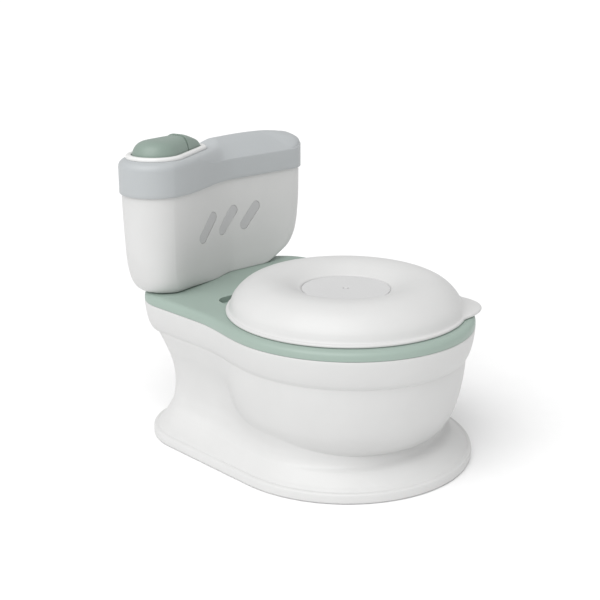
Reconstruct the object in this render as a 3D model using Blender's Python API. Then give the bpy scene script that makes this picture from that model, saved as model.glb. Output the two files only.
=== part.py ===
"""A child's potty training chair shaped like a small toilet.

A hollow white base carries a green seat deck with a lift-out pot and a drop-on lid. The tank
behind it has a lift-off cover whose raised end holds two flush buttons over a sound module.
Every dimension is in millimetres here and becomes metres through MM.
"""

import math

import bmesh
import bpy
from mathutils import Vector

MM = 0.001
GAP = 0.3

# The bowl's axis is x = 0, y = 0 in the numbers below; this moves it so that the origin lies
# under the middle of the whole chair.
BOWL_Y = -51.8

# Base and seat
WALL = 2.6
FOOT_Z = 0.8
COLLAR_TOP_Z = 148.4
DECK_Z = 148.7
DECK_TOP_Z = 158.8
DECK_WALL = 3.0
BLEND_END_Y = 100.0
FRONT_CENTRE_Y = 3.5

# Pot and its opening
POT_Y = -4.0
POT_X_R, POT_Y_R = 80.0, 98.0
POT_BOTTOM_Z = 62.0
RIM_Z = 156.2
WELL_X, WELL_FRONT_Y, WELL_REAR_Y, WELL_Z = 80.0, 78.0, 123.5, 152.4

# Lid
LID_Y = 1.0
LID_R = 126.7
INLAY_R = 46.5
TAB_TURN = 47.0
TAB_REACH = 143.5

# Tank
TANK_BOTTOM_Z = 159.1
TUB_TOP_Z = 288.0
BAND_Z = 268.8
CREASE_Z = 293.6
ROOF_Z = 312.4
HOUSING_Z = 306.6
LOBE_X, LOBE_Y, LOBE_R = -94.3, 199.8, 40.5
TANK_END_X = 134.6
TANK_FRONT_Y = 195.2
TANK_REAR_Y = 240.3
WINDOW_Z = 222.0
# middle, slant in degrees, half-length between the end circles
WINDOWS = ((-38.0, 51.0, 15.2), (2.8, 46.0, 13.9), (38.8, 44.0, 13.1))

# Sound module: two circles whose hull gives each egg-shaped outline
HEAD = (-88.3, 203.5)
TAIL = (-25.6, 217.6)
# Bezel and buttons: the same, and the middle of the cut between the buttons
RIM_HEAD = (-92.1, 200.6)
RIM_TAIL = (-28.7, 217.3)
SPLIT = (-57.5, 208.0)
SPLIT_GAP = 1.0
LARGE_STEM = (-84.0, 204.5)
SMALL_STEM = (-32.5, 216.3)
CASE_SCREWS = ((-1.6, 218.0), (-55.7, 181.0), (-119.8, 182.1))
EAR_ROOTS = ((-16.0, 217.7), (-58.5, 196.0), (-106.0, 192.7))

# Fasteners
DECK_SCREWS = ((104.0, -56.0), (-104.0, -56.0), (102.0, 150.0), (-102.0, 150.0))
FEET = ((88.0, -86.0), (-88.0, -86.0), (112.0, 152.0), (-112.0, 152.0))
TANK_SCREWS = ((-60.0, 200.0), (60.0, 214.5))


# ---------------------------------------------------------------- scene and materials

for old in list(bpy.data.objects):
    bpy.data.objects.remove(old, do_unlink=True)

parts = bpy.data.collections.new("potty_chair")
cutters = bpy.data.collections.new("potty_chair_cutters")
bpy.context.scene.collection.children.link(parts)
bpy.context.scene.collection.children.link(cutters)


def material(name, colour, roughness, metallic=0.0):
    made = bpy.data.materials.new(name)
    made.use_nodes = True
    shader = made.node_tree.nodes["Principled BSDF"]
    shader.inputs["Base Color"].default_value = (*colour, 1.0)
    shader.inputs["Roughness"].default_value = roughness
    shader.inputs["Metallic"].default_value = metallic
    return made


WHITE = (0.80, 0.80, 0.78)
GREEN = (0.36, 0.50, 0.42)
GREY = (0.48, 0.51, 0.53)
PALE_GREY = (0.62, 0.62, 0.62)
BLACK = (0.03, 0.03, 0.03)
STEEL = (0.60, 0.60, 0.62)


def empty(name, location, parent=None):
    made = bpy.data.objects.new(name, None)
    made.location = Vector(location) * MM
    made.parent = parent
    parts.objects.link(made)
    return made


chair = empty("chair_origin", (0.0, BOWL_Y, 0.0))


# ---------------------------------------------------------------- mesh helpers


def mesh_from(bm, name):
    bmesh.ops.recalc_face_normals(bm, faces=bm.faces)
    mesh = bpy.data.meshes.new(name)
    bm.to_mesh(mesh)
    bm.free()
    return mesh


def place(mesh, name, look, parent=chair, origin=(0.0, 0.0, 0.0)):
    """A part whose mesh is in bowl coordinates, with its own origin at the point given."""
    shift = Vector(origin) * MM
    for vertex in mesh.vertices:
        vertex.co -= shift
    made = bpy.data.objects.new(name, mesh)
    made.location = shift
    made.parent = parent
    colour, roughness, metallic = look
    mesh.materials.append(material(name, colour, roughness, metallic))
    mesh.shade_smooth()
    mesh.set_sharp_from_angle(angle=math.radians(35.0))
    parts.objects.link(made)
    return made


def tool(mesh, name):
    """A helper solid in bowl coordinates, used by a Boolean and never shown."""
    made = bpy.data.objects.new(name, mesh)
    made.parent = chair
    made.hide_render = True
    made.display_type = "WIRE"
    cutters.objects.link(made)
    return made


def boolean(target, other, operation):
    made = target.modifiers.new(f"{operation.lower()}_{other.name}", "BOOLEAN")
    made.operation = operation
    made.solver = "EXACT"
    made.object = other


def loft(rings, name="loft"):
    """A closed solid through rings of equal length, listed bottom to top, with flat ends."""
    bm = bmesh.new()
    rows = [[bm.verts.new(Vector(point) * MM) for point in ring] for ring in rings]
    for lower, upper in zip(rows, rows[1:]):
        for i in range(len(lower)):
            j = (i + 1) % len(lower)
            bm.faces.new((lower[i], lower[j], upper[j], upper[i]))
    bm.faces.new(reversed(rows[0]))
    bm.faces.new(rows[-1])
    return mesh_from(bm, name)


def cylinder(x, y, low, high, radius, sides=24, name="cylinder", top_radius=None):
    bm = bmesh.new()
    top = radius if top_radius is None else top_radius
    made = bmesh.ops.create_cone(
        bm,
        cap_ends=True,
        segments=sides,
        radius1=radius * MM,
        radius2=top * MM,
        depth=(high - low) * MM,
    )
    middle = Vector((x, y, (low + high) / 2)) * MM
    bmesh.ops.translate(bm, verts=made["verts"], vec=middle)
    return mesh_from(bm, name)


def box(low, high, name="box"):
    bm = bmesh.new()
    made = bmesh.ops.create_cube(bm, size=1.0)
    low, high = Vector(low), Vector(high)
    bmesh.ops.scale(bm, vec=(high - low) * MM, verts=made["verts"])
    bmesh.ops.translate(bm, vec=(low + high) / 2 * MM, verts=made["verts"])
    return mesh_from(bm, name)


def turned(profile, x, y, steps, name):
    """A solid of revolution about a vertical axis; the profile runs from the axis to the axis."""
    bm = bmesh.new()
    ring = [bm.verts.new(Vector((radius, 0.0, z)) * MM) for radius, z in profile]
    for a, b in zip(ring, ring[1:]):
        bm.edges.new((a, b))
    bmesh.ops.spin(
        bm,
        geom=bm.verts[:] + bm.edges[:],
        cent=(0.0, 0.0, 0.0),
        axis=(0.0, 0.0, 1.0),
        angle=2 * math.pi,
        steps=steps,
        use_merge=True,
    )
    bmesh.ops.remove_doubles(bm, verts=bm.verts, dist=0.002 * MM)
    bmesh.ops.translate(bm, verts=bm.verts, vec=Vector((x, y, 0.0)) * MM)
    return mesh_from(bm, name)


def smooth(t):
    t = min(max(t, 0.0), 1.0)
    return t * t * (3.0 - 2.0 * t)


def normals_of(outline):
    """Outward unit normals of a counter-clockwise outline of (x, y) points."""
    found = []
    for i in range(len(outline)):
        before, after = outline[i - 1], outline[(i + 1) % len(outline)]
        along = Vector((after[0] - before[0], after[1] - before[1]))
        along.normalize()
        found.append((along.y, -along.x))
    return found


def inset(outline, distance):
    normals = normals_of(outline)
    return [
        (x - nx * distance, y - ny * distance)
        for (x, y), (nx, ny) in zip(outline, normals)
    ]


def ring_at(outline, z):
    return [(x, y, z) for x, y in outline]


# ---------------------------------------------------------------- plan outlines


def body_plan(front_x, front_y, side_x, rear_y, corner, arcs=7, sides=4, corners=4):
    """Elliptical front, sides that narrow along an S-curve, and rounded rear corners."""
    half = []
    for i in range(arcs + 1):
        turn = math.radians(90.0 * i / arcs)
        half.append((front_x * math.sin(turn), FRONT_CENTRE_Y - front_y * math.cos(turn)))
    for i in range(1, sides + 1):
        y = FRONT_CENTRE_Y + (BLEND_END_Y - FRONT_CENTRE_Y) * i / sides
        half.append((front_x + (side_x - front_x) * smooth(i / sides), y))
    for i in range(corners + 1):
        turn = math.radians(90.0 * i / corners)
        x = side_x - corner + corner * math.cos(turn)
        half.append((x, rear_y - corner + corner * math.sin(turn)))
    rear = [(0.0, rear_y)]
    left = [(-x, y) for x, y in reversed(half) if x > 1e-6]
    return half + rear + left


def oval(radius_x, radius_y, centre_y, count=36):
    turns = [2 * math.pi * i / count for i in range(count)]
    return [(radius_x * math.sin(a), centre_y - radius_y * math.cos(a)) for a in turns]


def hull(first, first_r, second, second_r, count=12):
    """Outline of the hull of two circles, the first at the left and the larger one."""
    ax, ay = first
    bx, by = second
    heading = math.atan2(by - ay, bx - ax)
    span = math.hypot(bx - ax, by - ay)
    lean = math.acos((first_r - second_r) / span)
    points = []
    for i in range(count + 1):
        turn = heading + lean + (2 * math.pi - 2 * lean) * i / count
        points.append((ax + first_r * math.cos(turn), ay + first_r * math.sin(turn)))
    small = max(6, count // 2)
    for i in range(small + 1):
        turn = heading - lean + 2 * lean * i / small
        points.append((bx + second_r * math.cos(turn), by + second_r * math.sin(turn)))
    return points


def egg(head_r, tail_r, count=14):
    return hull(HEAD, head_r, TAIL, tail_r, count)


def rim(head_r, tail_r, count=18):
    return hull(RIM_HEAD, head_r, RIM_TAIL, tail_r, count)


def rounded_box(x, front_y, rear_y, radius, steps=5):
    """A rectangle symmetric about x = 0 with rounded corners, counter-clockwise."""
    points = []
    for sign_x, sign_y, start in ((1, -1, -90.0), (1, 1, 0.0), (-1, 1, 90.0), (-1, -1, 180.0)):
        centre_x = sign_x * (x - radius)
        centre_y = front_y + radius if sign_y < 0 else rear_y - radius
        for i in range(steps + 1):
            turn = math.radians(start + 90.0 * i / steps)
            points.append((centre_x + radius * math.cos(turn), centre_y + radius * math.sin(turn)))
    return points


def tank_plan():
    """The tank from above: a half-round lobe at the left, an S-curved front and a thin right end."""
    front_r, rear_r = 28.0, TANK_REAR_Y - TANK_FRONT_Y - 28.0
    start_x, end_x = -100.0, 18.0
    start_y = 159.6
    points = []
    for i in range(9):
        x = start_x + (end_x - start_x) * i / 8
        y = start_y + (TANK_FRONT_Y - start_y) * smooth(i / 8)
        points.append((x, y))
    points.append((62.0, TANK_FRONT_Y))
    for i in range(6):
        turn = math.radians(-90.0 + 90.0 * i / 5)
        x = TANK_END_X - front_r + front_r * math.cos(turn)
        points.append((x, TANK_FRONT_Y + front_r + front_r * math.sin(turn)))
    for i in range(1, 5):
        turn = math.radians(90.0 * i / 4)
        x = TANK_END_X - rear_r + rear_r * math.cos(turn)
        points.append((x, TANK_REAR_Y - rear_r + rear_r * math.sin(turn)))
    points += [(60.0, TANK_REAR_Y), (0.0, TANK_REAR_Y), (-50.0, TANK_REAR_Y)]
    for i in range(12):
        turn = math.radians(90.0 + (261.9 - 12.0 - 90.0) * i / 11)
        points.append((LOBE_X + LOBE_R * math.cos(turn), LOBE_Y + LOBE_R * math.sin(turn)))
    return points


# ---------------------------------------------------------------- base shell

# height, front half-width, front depth, side half-width, rear line, corner radius
PEDESTAL = (
    (FOOT_Z, 139.5, 139.9, 139.5, 210.0, 75.0),
    (9.8, 139.3, 139.7, 139.3, 209.8, 75.0),
    (12.0, 134.0, 134.3, 134.0, 205.0, 70.0),
    (15.6, 128.5, 128.6, 126.4, 203.8, 65.0),
    (22.0, 121.2, 119.4, 116.6, 202.2, 58.0),
    (26.6, 117.5, 104.4, 111.1, 201.0, 54.0),
    (32.0, 115.5, 102.8, 107.0, 200.4, 52.0),
    (39.0, 114.4, 102.5, 104.3, 200.1, 51.0),
    (47.0, 115.1, 102.5, 102.4, 200.0, 50.0),
    (61.0, 118.0, 104.0, 102.0, 200.2, 50.0),
    (88.0, 122.4, 109.5, 106.5, 203.2, 50.0),
    (106.0, 126.2, 113.5, 112.1, 208.4, 50.0),
    (115.0, 127.0, 115.0, 114.6, 212.0, 50.0),
    (122.0, 127.4, 115.4, 115.2, 212.6, 50.0),
)
# height, half-width, half-depth
BOWL = (
    (34.0, 97.5, 100.5),
    (35.5, 102.2, 105.2),
    (37.6, 106.2, 109.2),
    (41.4, 109.7, 112.7),
    (47.2, 113.5, 116.5),
    (61.0, 119.9, 122.9),
    (79.0, 124.3, 127.3),
    (98.0, 127.2, 130.2),
    (122.0, 128.6, 131.6),
)
# height, inset from the seat outline
COLLAR = (
    (114.2, 12.0),
    (115.6, 9.8),
    (117.6, 7.2),
    (120.4, 5.2),
    (125.5, 3.3),
    (134.0, 1.4),
    (COLLAR_TOP_Z, 0.0),
)
COLLAR_LIFT = (WALL, 2.2, 1.7, 0.9, 0.0, 0.0, 3.0)
SEAT_PLAN = body_plan(135.4, 140.1, 122.0, 228.0, 54.0)


def pedestal_rings(wall=0.0):
    """The pedestal's rings, or, with a wall, the rings of the hollow inside it."""
    rings = []
    last = len(PEDESTAL) - 1
    for i, (z, *plan) in enumerate(PEDESTAL):
        below, above = PEDESTAL[max(i - 1, 0)], PEDESTAL[min(i + 1, last)]
        rise = max(above[0] - below[0], 0.01)
        drop = min((below[3] - above[3]) / rise, 1.6)
        down = wall * max(drop, 0.0) / math.hypot(1.0, drop)
        outline = body_plan(*plan)
        rings.append(ring_at(inset(outline, wall) if wall else outline, z - down))
    return rings


def bowl_rings(wall=0.0):
    rings = []
    for z, radius_x, radius_y in BOWL:
        rise = wall if z < 40.0 else 0.0
        outline = oval(radius_x - wall, radius_y - wall, FRONT_CENTRE_Y + 0.3)
        rings.append(ring_at(outline, z + rise))
    return rings


def collar_rings(wall=0.0):
    """The collar's rings, or, with a wall, those of its hollow, which runs out at the top."""
    rings = []
    for (z, drop), lift in zip(COLLAR, COLLAR_LIFT):
        rings.append(ring_at(inset(SEAT_PLAN, drop + wall), z + (lift if wall else 0.0)))
    return rings


base = place(loft(pedestal_rings(), "base_shell"), "base_shell", (WHITE, 0.35, 0.0))
hollow = pedestal_rings(WALL)
hollow[0] = [(x, y, -2.0) for x, y, z in hollow[0]]
base_hollow = tool(loft(hollow[:7] + hollow[7::2], "base_hollow"), "base_hollow")
bowl_outer = tool(loft(bowl_rings(), "bowl_outer"), "bowl_outer")
bowl_hollow = tool(loft(bowl_rings(WALL), "bowl_hollow"), "bowl_hollow")
collar_outer = tool(loft(collar_rings(), "collar_outer"), "collar_outer")
collar_hollow = tool(loft(collar_rings(WALL), "collar_hollow"), "collar_hollow")
for other in (bowl_hollow, collar_hollow):
    boolean(base_hollow, other, "UNION")
for i, (x, y) in enumerate(DECK_SCREWS):
    lug = tool(cylinder(x, y, 130.0, 134.0, 16.0, 28), f"deck_lug_{i}")
    boolean(base_hollow, lug, "DIFFERENCE")
for i, (x, y) in enumerate(FEET):
    boss = tool(cylinder(x, y, 2.0, 30.0, 10.0), f"foot_boss_{i}")
    boolean(base_hollow, boss, "DIFFERENCE")
boolean(base, bowl_outer, "UNION")
boolean(base, collar_outer, "UNION")
boolean(base, base_hollow, "DIFFERENCE")
for i, (x, y) in enumerate(DECK_SCREWS):
    hole = tool(cylinder(x, y, 128.0, 136.0, 2.1, 16), f"deck_lug_hole_{i}")
    boolean(base, hole, "DIFFERENCE")
for i, (x, y) in enumerate(FEET):
    socket = tool(cylinder(x, y, 0.0, 8.6, 3.2, 16), f"foot_socket_{i}")
    boolean(base, socket, "DIFFERENCE")

# ---------------------------------------------------------------- rubber feet

FOOT_PROFILE = ((0.0, 0.0), (8.0, 0.0), (8.6, 0.5), (8.6, 1.7), (2.8, 1.7), (2.8, 7.8), (0.0, 7.8))
FOOT_NAMES = ("foot_front_right", "foot_front_left", "foot_rear_right", "foot_rear_left")
for name, (x, y) in zip(FOOT_NAMES, FEET):
    place(turned(FOOT_PROFILE, x, y, 18, name), name, ((0.09, 0.09, 0.09), 0.8, 0.0), origin=(x, y, 0))

# ---------------------------------------------------------------- seat deck

DECK_EDGE = ((DECK_Z, 0.0), (153.0, 0.1), (156.0, 1.4), (157.9, 3.6), (DECK_TOP_Z, 7.4))
deck = place(
    loft([ring_at(inset(SEAT_PLAN, drop), z) for z, drop in DECK_EDGE], "seat_deck"),
    "seat_deck",
    (GREEN, 0.45, 0.0),
)
deck_hollow = tool(
    loft(
        [
            ring_at(inset(SEAT_PLAN, DECK_WALL), DECK_Z - 2.0),
            ring_at(inset(SEAT_PLAN, DECK_WALL + 0.4), 153.4),
            ring_at(inset(SEAT_PLAN, DECK_WALL + 3.0), DECK_TOP_Z - DECK_WALL),
        ],
        "deck_hollow",
    ),
    "deck_hollow",
)
ring_boss = tool(
    loft(
        [
            ring_at(oval(POT_X_R + 17.0, POT_Y_R + 17.0, POT_Y), 149.5),
            ring_at(oval(POT_X_R + 17.0, POT_Y_R + 17.0, POT_Y), 157.0),
        ],
        "ring_boss",
    ),
    "ring_boss",
)
well_plan = rounded_box(WELL_X, WELL_FRONT_Y, WELL_REAR_Y, 20.0)
well_boss_plan = rounded_box(WELL_X + 5.0, WELL_FRONT_Y - 10.0, WELL_REAR_Y + 5.0, 24.0)
well_boss = tool(
    loft([ring_at(well_boss_plan, 149.5), ring_at(well_boss_plan, 157.2)], "well_boss"),
    "well_boss",
)
boolean(deck_hollow, ring_boss, "DIFFERENCE")
boolean(deck_hollow, well_boss, "DIFFERENCE")
for i, (x, y) in enumerate(DECK_SCREWS):
    post = tool(cylinder(x, y, 140.0, 160.0, 5.0, 20), f"deck_post_{i}")
    boolean(deck_hollow, post, "DIFFERENCE")
boolean(deck, deck_hollow, "DIFFERENCE")
for i, (x, y) in enumerate(DECK_SCREWS):
    leg = tool(cylinder(x, y, 134.3, 156.6, 5.0, 20), f"deck_leg_{i}")
    boolean(deck, leg, "UNION")
opening = tool(
    loft(
        [
            ring_at(oval(POT_X_R + 1.5, POT_Y_R + 1.5, POT_Y), 140.0),
            ring_at(oval(POT_X_R + 1.5, POT_Y_R + 1.5, POT_Y), 170.0),
        ],
        "seat_opening",
    ),
    "seat_opening",
)
rebate = tool(
    loft(
        [
            ring_at(oval(POT_X_R + 11.0, POT_Y_R + 11.0, POT_Y), RIM_Z - GAP),
            ring_at(oval(POT_X_R + 11.0, POT_Y_R + 11.0, POT_Y), 168.0),
        ],
        "rim_rebate",
    ),
    "rim_rebate",
)
well = tool(loft([ring_at(well_plan, WELL_Z), ring_at(well_plan, 166.0)], "finger_well"), "finger_well")
for other in (opening, rebate, well):
    boolean(deck, other, "DIFFERENCE")
for i, (x, y) in enumerate(DECK_SCREWS):
    pilot = tool(cylinder(x, y, 133.0, 148.0, 1.8, 12), f"deck_pilot_{i}")
    boolean(deck, pilot, "DIFFERENCE")
for i, (x, y) in enumerate(TANK_SCREWS):
    hole = tool(cylinder(x, y, 150.0, 165.0, 3.0, 16), f"tank_bolt_hole_{i}")
    boolean(deck, hole, "DIFFERENCE")

# ---------------------------------------------------------------- screws


def screw(put, name, x, y, head_z, head_r, head_h, shank_r, tip_z):
    """A pan-head screw driven upwards, with its cross recess simplified to a round one."""
    profile = (
        (0.0, head_z + 0.8),
        (head_r * 0.4, head_z),
        (head_r * 0.85, head_z),
        (head_r, head_z + head_h * 0.5),
        (head_r, head_z + head_h),
        (shank_r, head_z + head_h),
        (shank_r, tip_z - 2.0),
        (0.0, tip_z),
    )
    look = (STEEL, 0.35, 0.9)
    put(turned(profile, x, y, 12, name), name, look, origin=(x, y, head_z))


SCREW_NAMES = ("front_right", "front_left", "rear_right", "rear_left")
for where, (x, y) in zip(SCREW_NAMES, DECK_SCREWS):
    screw(place, f"deck_screw_{where}", x, y, 127.2, 3.8, 2.5, 1.5, 146.0)

# ---------------------------------------------------------------- pot


def pot_ring(grow, z, guard=0.0):
    """One ring of the pot; the splash guard lifts its front by a smooth hump."""
    points = []
    for i in range(36):
        turn = 2 * math.pi * i / 36
        hump = smooth(1.0 - abs(math.atan2(math.sin(turn), math.cos(turn))) / 1.05)
        x = (POT_X_R + grow) * math.sin(turn)
        y = POT_Y - (POT_Y_R + grow) * math.cos(turn)
        points.append((x, y, z + guard * hump))
    return points


GUARD = 20.0
pot_rings = [
    pot_ring(-28.0, POT_BOTTOM_Z),
    pot_ring(-19.0, POT_BOTTOM_Z + 2.2),
    pot_ring(-12.0, POT_BOTTOM_Z + 9.0),
    pot_ring(-8.0, POT_BOTTOM_Z + 24.0),
    pot_ring(-2.4, RIM_Z - 12.0),
    pot_ring(0.0, RIM_Z),
    pot_ring(9.6, RIM_Z),
    pot_ring(10.2, RIM_Z + 1.2),
    pot_ring(9.4, RIM_Z + 2.3),
    pot_ring(2.4, RIM_Z + 2.6),
    pot_ring(1.0, RIM_Z + 3.6, GUARD * 0.9),
    pot_ring(-0.4, RIM_Z + 4.2, GUARD),
    pot_ring(-1.6, RIM_Z + 3.0, GUARD * 0.9),
    pot_ring(-2.6, RIM_Z + 0.5),
    pot_ring(-4.9, RIM_Z - 12.0),
    pot_ring(-10.4, POT_BOTTOM_Z + 24.0),
    pot_ring(-14.2, POT_BOTTOM_Z + 11.0),
    pot_ring(-20.5, POT_BOTTOM_Z + 4.6),
    pot_ring(-29.0, POT_BOTTOM_Z + 2.6),
]
pot = place(loft(pot_rings, "pot"), "pot", (WHITE, 0.35, 0.0), origin=(0.0, 0.0, RIM_Z))
grip_plan = rounded_box(40.0, 98.0, 114.0, 8.0)
grip_tool = tool(
    loft([ring_at(grip_plan, RIM_Z - 0.1), ring_at(grip_plan, RIM_Z + 2.4)], "pot_grip"), "pot_grip"
)
boolean(pot, grip_tool, "UNION")

# ---------------------------------------------------------------- lid

# radius, height: from the rim over the crown to the dimple's edge, and back on the inside
LID_OUTER = (
    (LID_R, 159.6),
    (LID_R + 0.1, 161.4),
    (124.2, 162.4),
    (122.6, 164.4),
    (119.6, 172.6),
    (114.0, 180.8),
    (106.4, 187.2),
    (96.0, 191.9),
    (84.0, 193.5),
    (71.0, 191.9),
    (58.0, 187.4),
    (50.0, 184.0),
    (47.2, 182.6),
)
LID_INNER = (
    (47.6, 179.6),
    (58.0, 184.6),
    (71.0, 189.4),
    (84.0, 191.0),
    (95.4, 189.4),
    (104.8, 185.0),
    (112.0, 178.8),
    (117.2, 171.4),
    (120.6, 161.6),
    (122.0, 159.4),
)
NUB_R = 2.2
lid_profile = (
    [(0.0, 182.6), (NUB_R, 182.4), (NUB_R + 0.2, 181.2), (47.2, 181.2)]
    + list(reversed(LID_OUTER))
    + list(reversed(LID_INNER))
    + [(0.0, 178.4)]
)
lid = place(
    turned(lid_profile, 0.0, LID_Y, 40, "lid"), "lid", (WHITE, 0.3, 0.0), origin=(0.0, LID_Y, 159.1)
)


def tab_ring(z_shift, reach_cut=0.0):
    """The pull tab from above: flared sides and a rounded tip, drooping towards the tip."""
    points = []
    steps = 14
    for i in range(steps + 1):
        across = -1.0 + 2.0 * i / steps
        turn = math.radians(across * 17.5)
        bump = smooth(1.0 - abs(across)) ** 0.8
        reach = LID_R - 4.0 + (TAB_REACH - LID_R + 4.0 - reach_cut) * bump
        points.append((reach * math.sin(turn), -reach * math.cos(turn), 161.0 + z_shift))
    for i in range(steps + 1):
        turn = math.radians(17.5 - 35.0 * i / steps)
        reach = 120.5
        points.append((reach * math.sin(turn), -reach * math.cos(turn), 162.6 + z_shift))
    turn = math.radians(TAB_TURN)
    return [
        (x * math.cos(turn) - y * math.sin(turn), LID_Y + x * math.sin(turn) + y * math.cos(turn), z)
        for x, y, z in points
    ]


tab_tool = tool(loft([tab_ring(-1.2), tab_ring(0.6, 0.3), tab_ring(1.3, 1.6)], "lid_tab"), "lid_tab")
boolean(lid, tab_tool, "UNION")

place(
    turned(
        (
            (2.8, 181.6),
            (2.8, 182.2),
            (INLAY_R - 0.4, 182.2),
            (INLAY_R, 181.9),
            (INLAY_R, 181.6),
            (2.8, 181.6),
        ),
        0.0,
        LID_Y,
        40,
        "lid_inlay_disc",
    ),
    "lid_inlay_disc",
    (PALE_GREY, 0.4, 0.0),
    origin=(0.0, LID_Y, 181.6),
)

# ---------------------------------------------------------------- tank shell

TANK_PLAN = tank_plan()
# height, inset of the left end, right end, lobe, straight front and rear
TUB = (
    (TANK_BOTTOM_Z, 23.0, 62.0, 13.5, 1.2, 12.5),
    (160.3, 19.0, 55.0, 10.5, 1.0, 10.0),
    (163.6, 15.0, 46.5, 8.0, 1.0, 8.6),
    (168.0, 12.0, 37.0, 6.4, 1.2, 6.6),
    (175.0, 9.0, 22.9, 5.2, 1.6, 5.4),
    (185.0, 6.6, 13.6, 4.6, 2.0, 4.6),
    (197.0, 5.0, 8.2, 4.0, 2.4, 4.0),
    (226.0, 3.6, 3.6, 3.0, 2.6, 3.0),
    (256.0, 2.6, 2.6, 2.5, 2.5, 2.5),
    (TUB_TOP_Z, 2.6, 2.6, 2.5, 2.5, 2.5),
)


def tub_ring(z, left, right, lobe, front, rear, wall=0.0):
    """The tank's outline, drawn in by its own amount at each end, at the lobe, front and rear."""
    points = []
    for (x, y), (nx, ny) in zip(TANK_PLAN, normals_of(TANK_PLAN)):
        face = lobe + (front - lobe) * smooth((x + 80.0) / 60.0)
        face += (rear - face) * smooth(0.5 + 0.5 * ny)
        spread = 1.0 - ((left if x < 0.0 else right) - face) / TANK_END_X
        points.append(((x - nx * (face + wall)) * spread, y - ny * (face + wall), z))
    return points


def tub_rings(wall=0.0):
    """The tub's rings, or the rings at a depth below its surface."""
    rings = []
    for i, (z, *insets) in enumerate(TUB):
        rings.append(tub_ring(z + wall * max(0.0, 1.0 - i / 5.0), *insets, wall))
    return rings


tank = place(loft(tub_rings(), "tank_shell"), "tank_shell", (WHITE, 0.35, 0.0))
tub_inner = [ring for i, ring in enumerate(tub_rings(2.5)) if i != 6]
tub_inner[-1] = [(x, y, z + 4.0) for x, y, z in tub_inner[-1]]
tank_hollow = tool(loft(tub_inner, "tank_hollow"), "tank_hollow")
for i, (x, y) in enumerate(TANK_SCREWS):
    boss = tool(cylinder(x, y, 150.0, 174.0, 6.0), f"tank_boss_{i}")
    boolean(tank_hollow, boss, "DIFFERENCE")
boolean(tank, tank_hollow, "DIFFERENCE")
for i, (x, y) in enumerate(TANK_SCREWS):
    pilot = tool(cylinder(x, y, 157.0, 171.0, 2.3, 14), f"tank_pilot_{i}")
    boolean(tank, pilot, "DIFFERENCE")


def capsule(x, z, radius, half_length, slant):
    """A slanted slot through the tank's front, as a prism along y."""
    lean = math.radians(slant)
    outline = []
    for end in (1, -1):
        for i in range(9):
            turn = math.radians(180.0 * i / 8) + (0.0 if end > 0 else math.pi)
            side, up = radius * math.cos(turn), radius * math.sin(turn) + end * half_length
            outline.append(
                (
                    x + side * math.cos(lean) + up * math.sin(lean),
                    z - side * math.sin(lean) + up * math.cos(lean),
                )
            )
    return loft([[(a, 150.0, b) for a, b in outline], [(a, 206.0, b) for a, b in outline]], "slot")


window_skin = tool(loft(tub_rings(0.35), "window_skin"), "window_skin")
skin_hollow = tool(loft(tub_rings(2.1), "skin_hollow"), "skin_hollow")
boolean(window_skin, skin_hollow, "DIFFERENCE")
for i, (x, slant, half_length) in enumerate(WINDOWS):
    slot = tool(capsule(x, WINDOW_Z, 6.4, half_length, slant), f"window_slot_{i}")
    boolean(tank, slot, "DIFFERENCE")
    window = place(
        capsule(x, WINDOW_Z, 6.1, half_length, slant),
        f"tank_window_{i + 1}",
        ((0.45, 0.45, 0.46), 0.4, 0.0),
    )
    boolean(window, window_skin, "INTERSECT")

for where, (x, y) in zip(("left", "right"), TANK_SCREWS):
    screw(place, f"tank_screw_{where}", x, y, 152.4, 4.6, 2.8, 2.0, 170.0)

# ---------------------------------------------------------------- tank lid

cover = empty("tank_lid_slide", (0.0, 0.0, BAND_Z), chair)


def on_cover(mesh, name, look, origin=(0.0, 0.0, BAND_Z)):
    """A part that lifts off with the tank's lid."""
    made = place(mesh, name, look, cover, origin)
    made.location -= Vector((0.0, 0.0, BAND_Z)) * MM
    return made


def spine_point(x):
    """The line that the roof's rings shrink towards, from the lobe's middle to the right end."""
    x = min(max(x * 0.8, LOBE_X + 4.0), 104.0)
    share = smooth((x + 60.0) / 70.0)
    return x, LOBE_Y + 4.0 + (228.5 - LOBE_Y - 4.0) * share


def roof_ring(outline, share, drop):
    """A ring of the roof: share 0 is the crease and 1 the spine."""
    points = []
    for x, y in outline:
        spine_x, spine_y = spine_point(x)
        at_x = x + (spine_x - x) * share
        at_y = y + (spine_y - y) * share
        reach = math.hypot(spine_x - x, spine_y - y) * share
        shoulder = math.sqrt(1.0 - (1.0 - min(reach / 10.0, 1.0)) ** 2)
        flat = CREASE_Z + (HOUSING_Z - CREASE_Z) * shoulder
        domed = CREASE_Z + (ROOF_Z - CREASE_Z) * math.sin(math.pi / 2 * share) ** 0.9
        blend = smooth((at_x + 12.0) / 30.0)
        points.append((at_x, at_y, flat + (domed - flat) * blend - drop))
    return points


ROOF_SHARES = (0.0, 0.05, 0.13, 0.25, 0.45, 0.7, 0.93)


def lid_solid(outline, bottom_z, drop, name):
    rings = [ring_at(outline, bottom_z), ring_at(outline, CREASE_Z - 6.0 - drop)]
    rings += [roof_ring(outline, share, drop) for share in ROOF_SHARES]
    return loft(rings, name)


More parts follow.
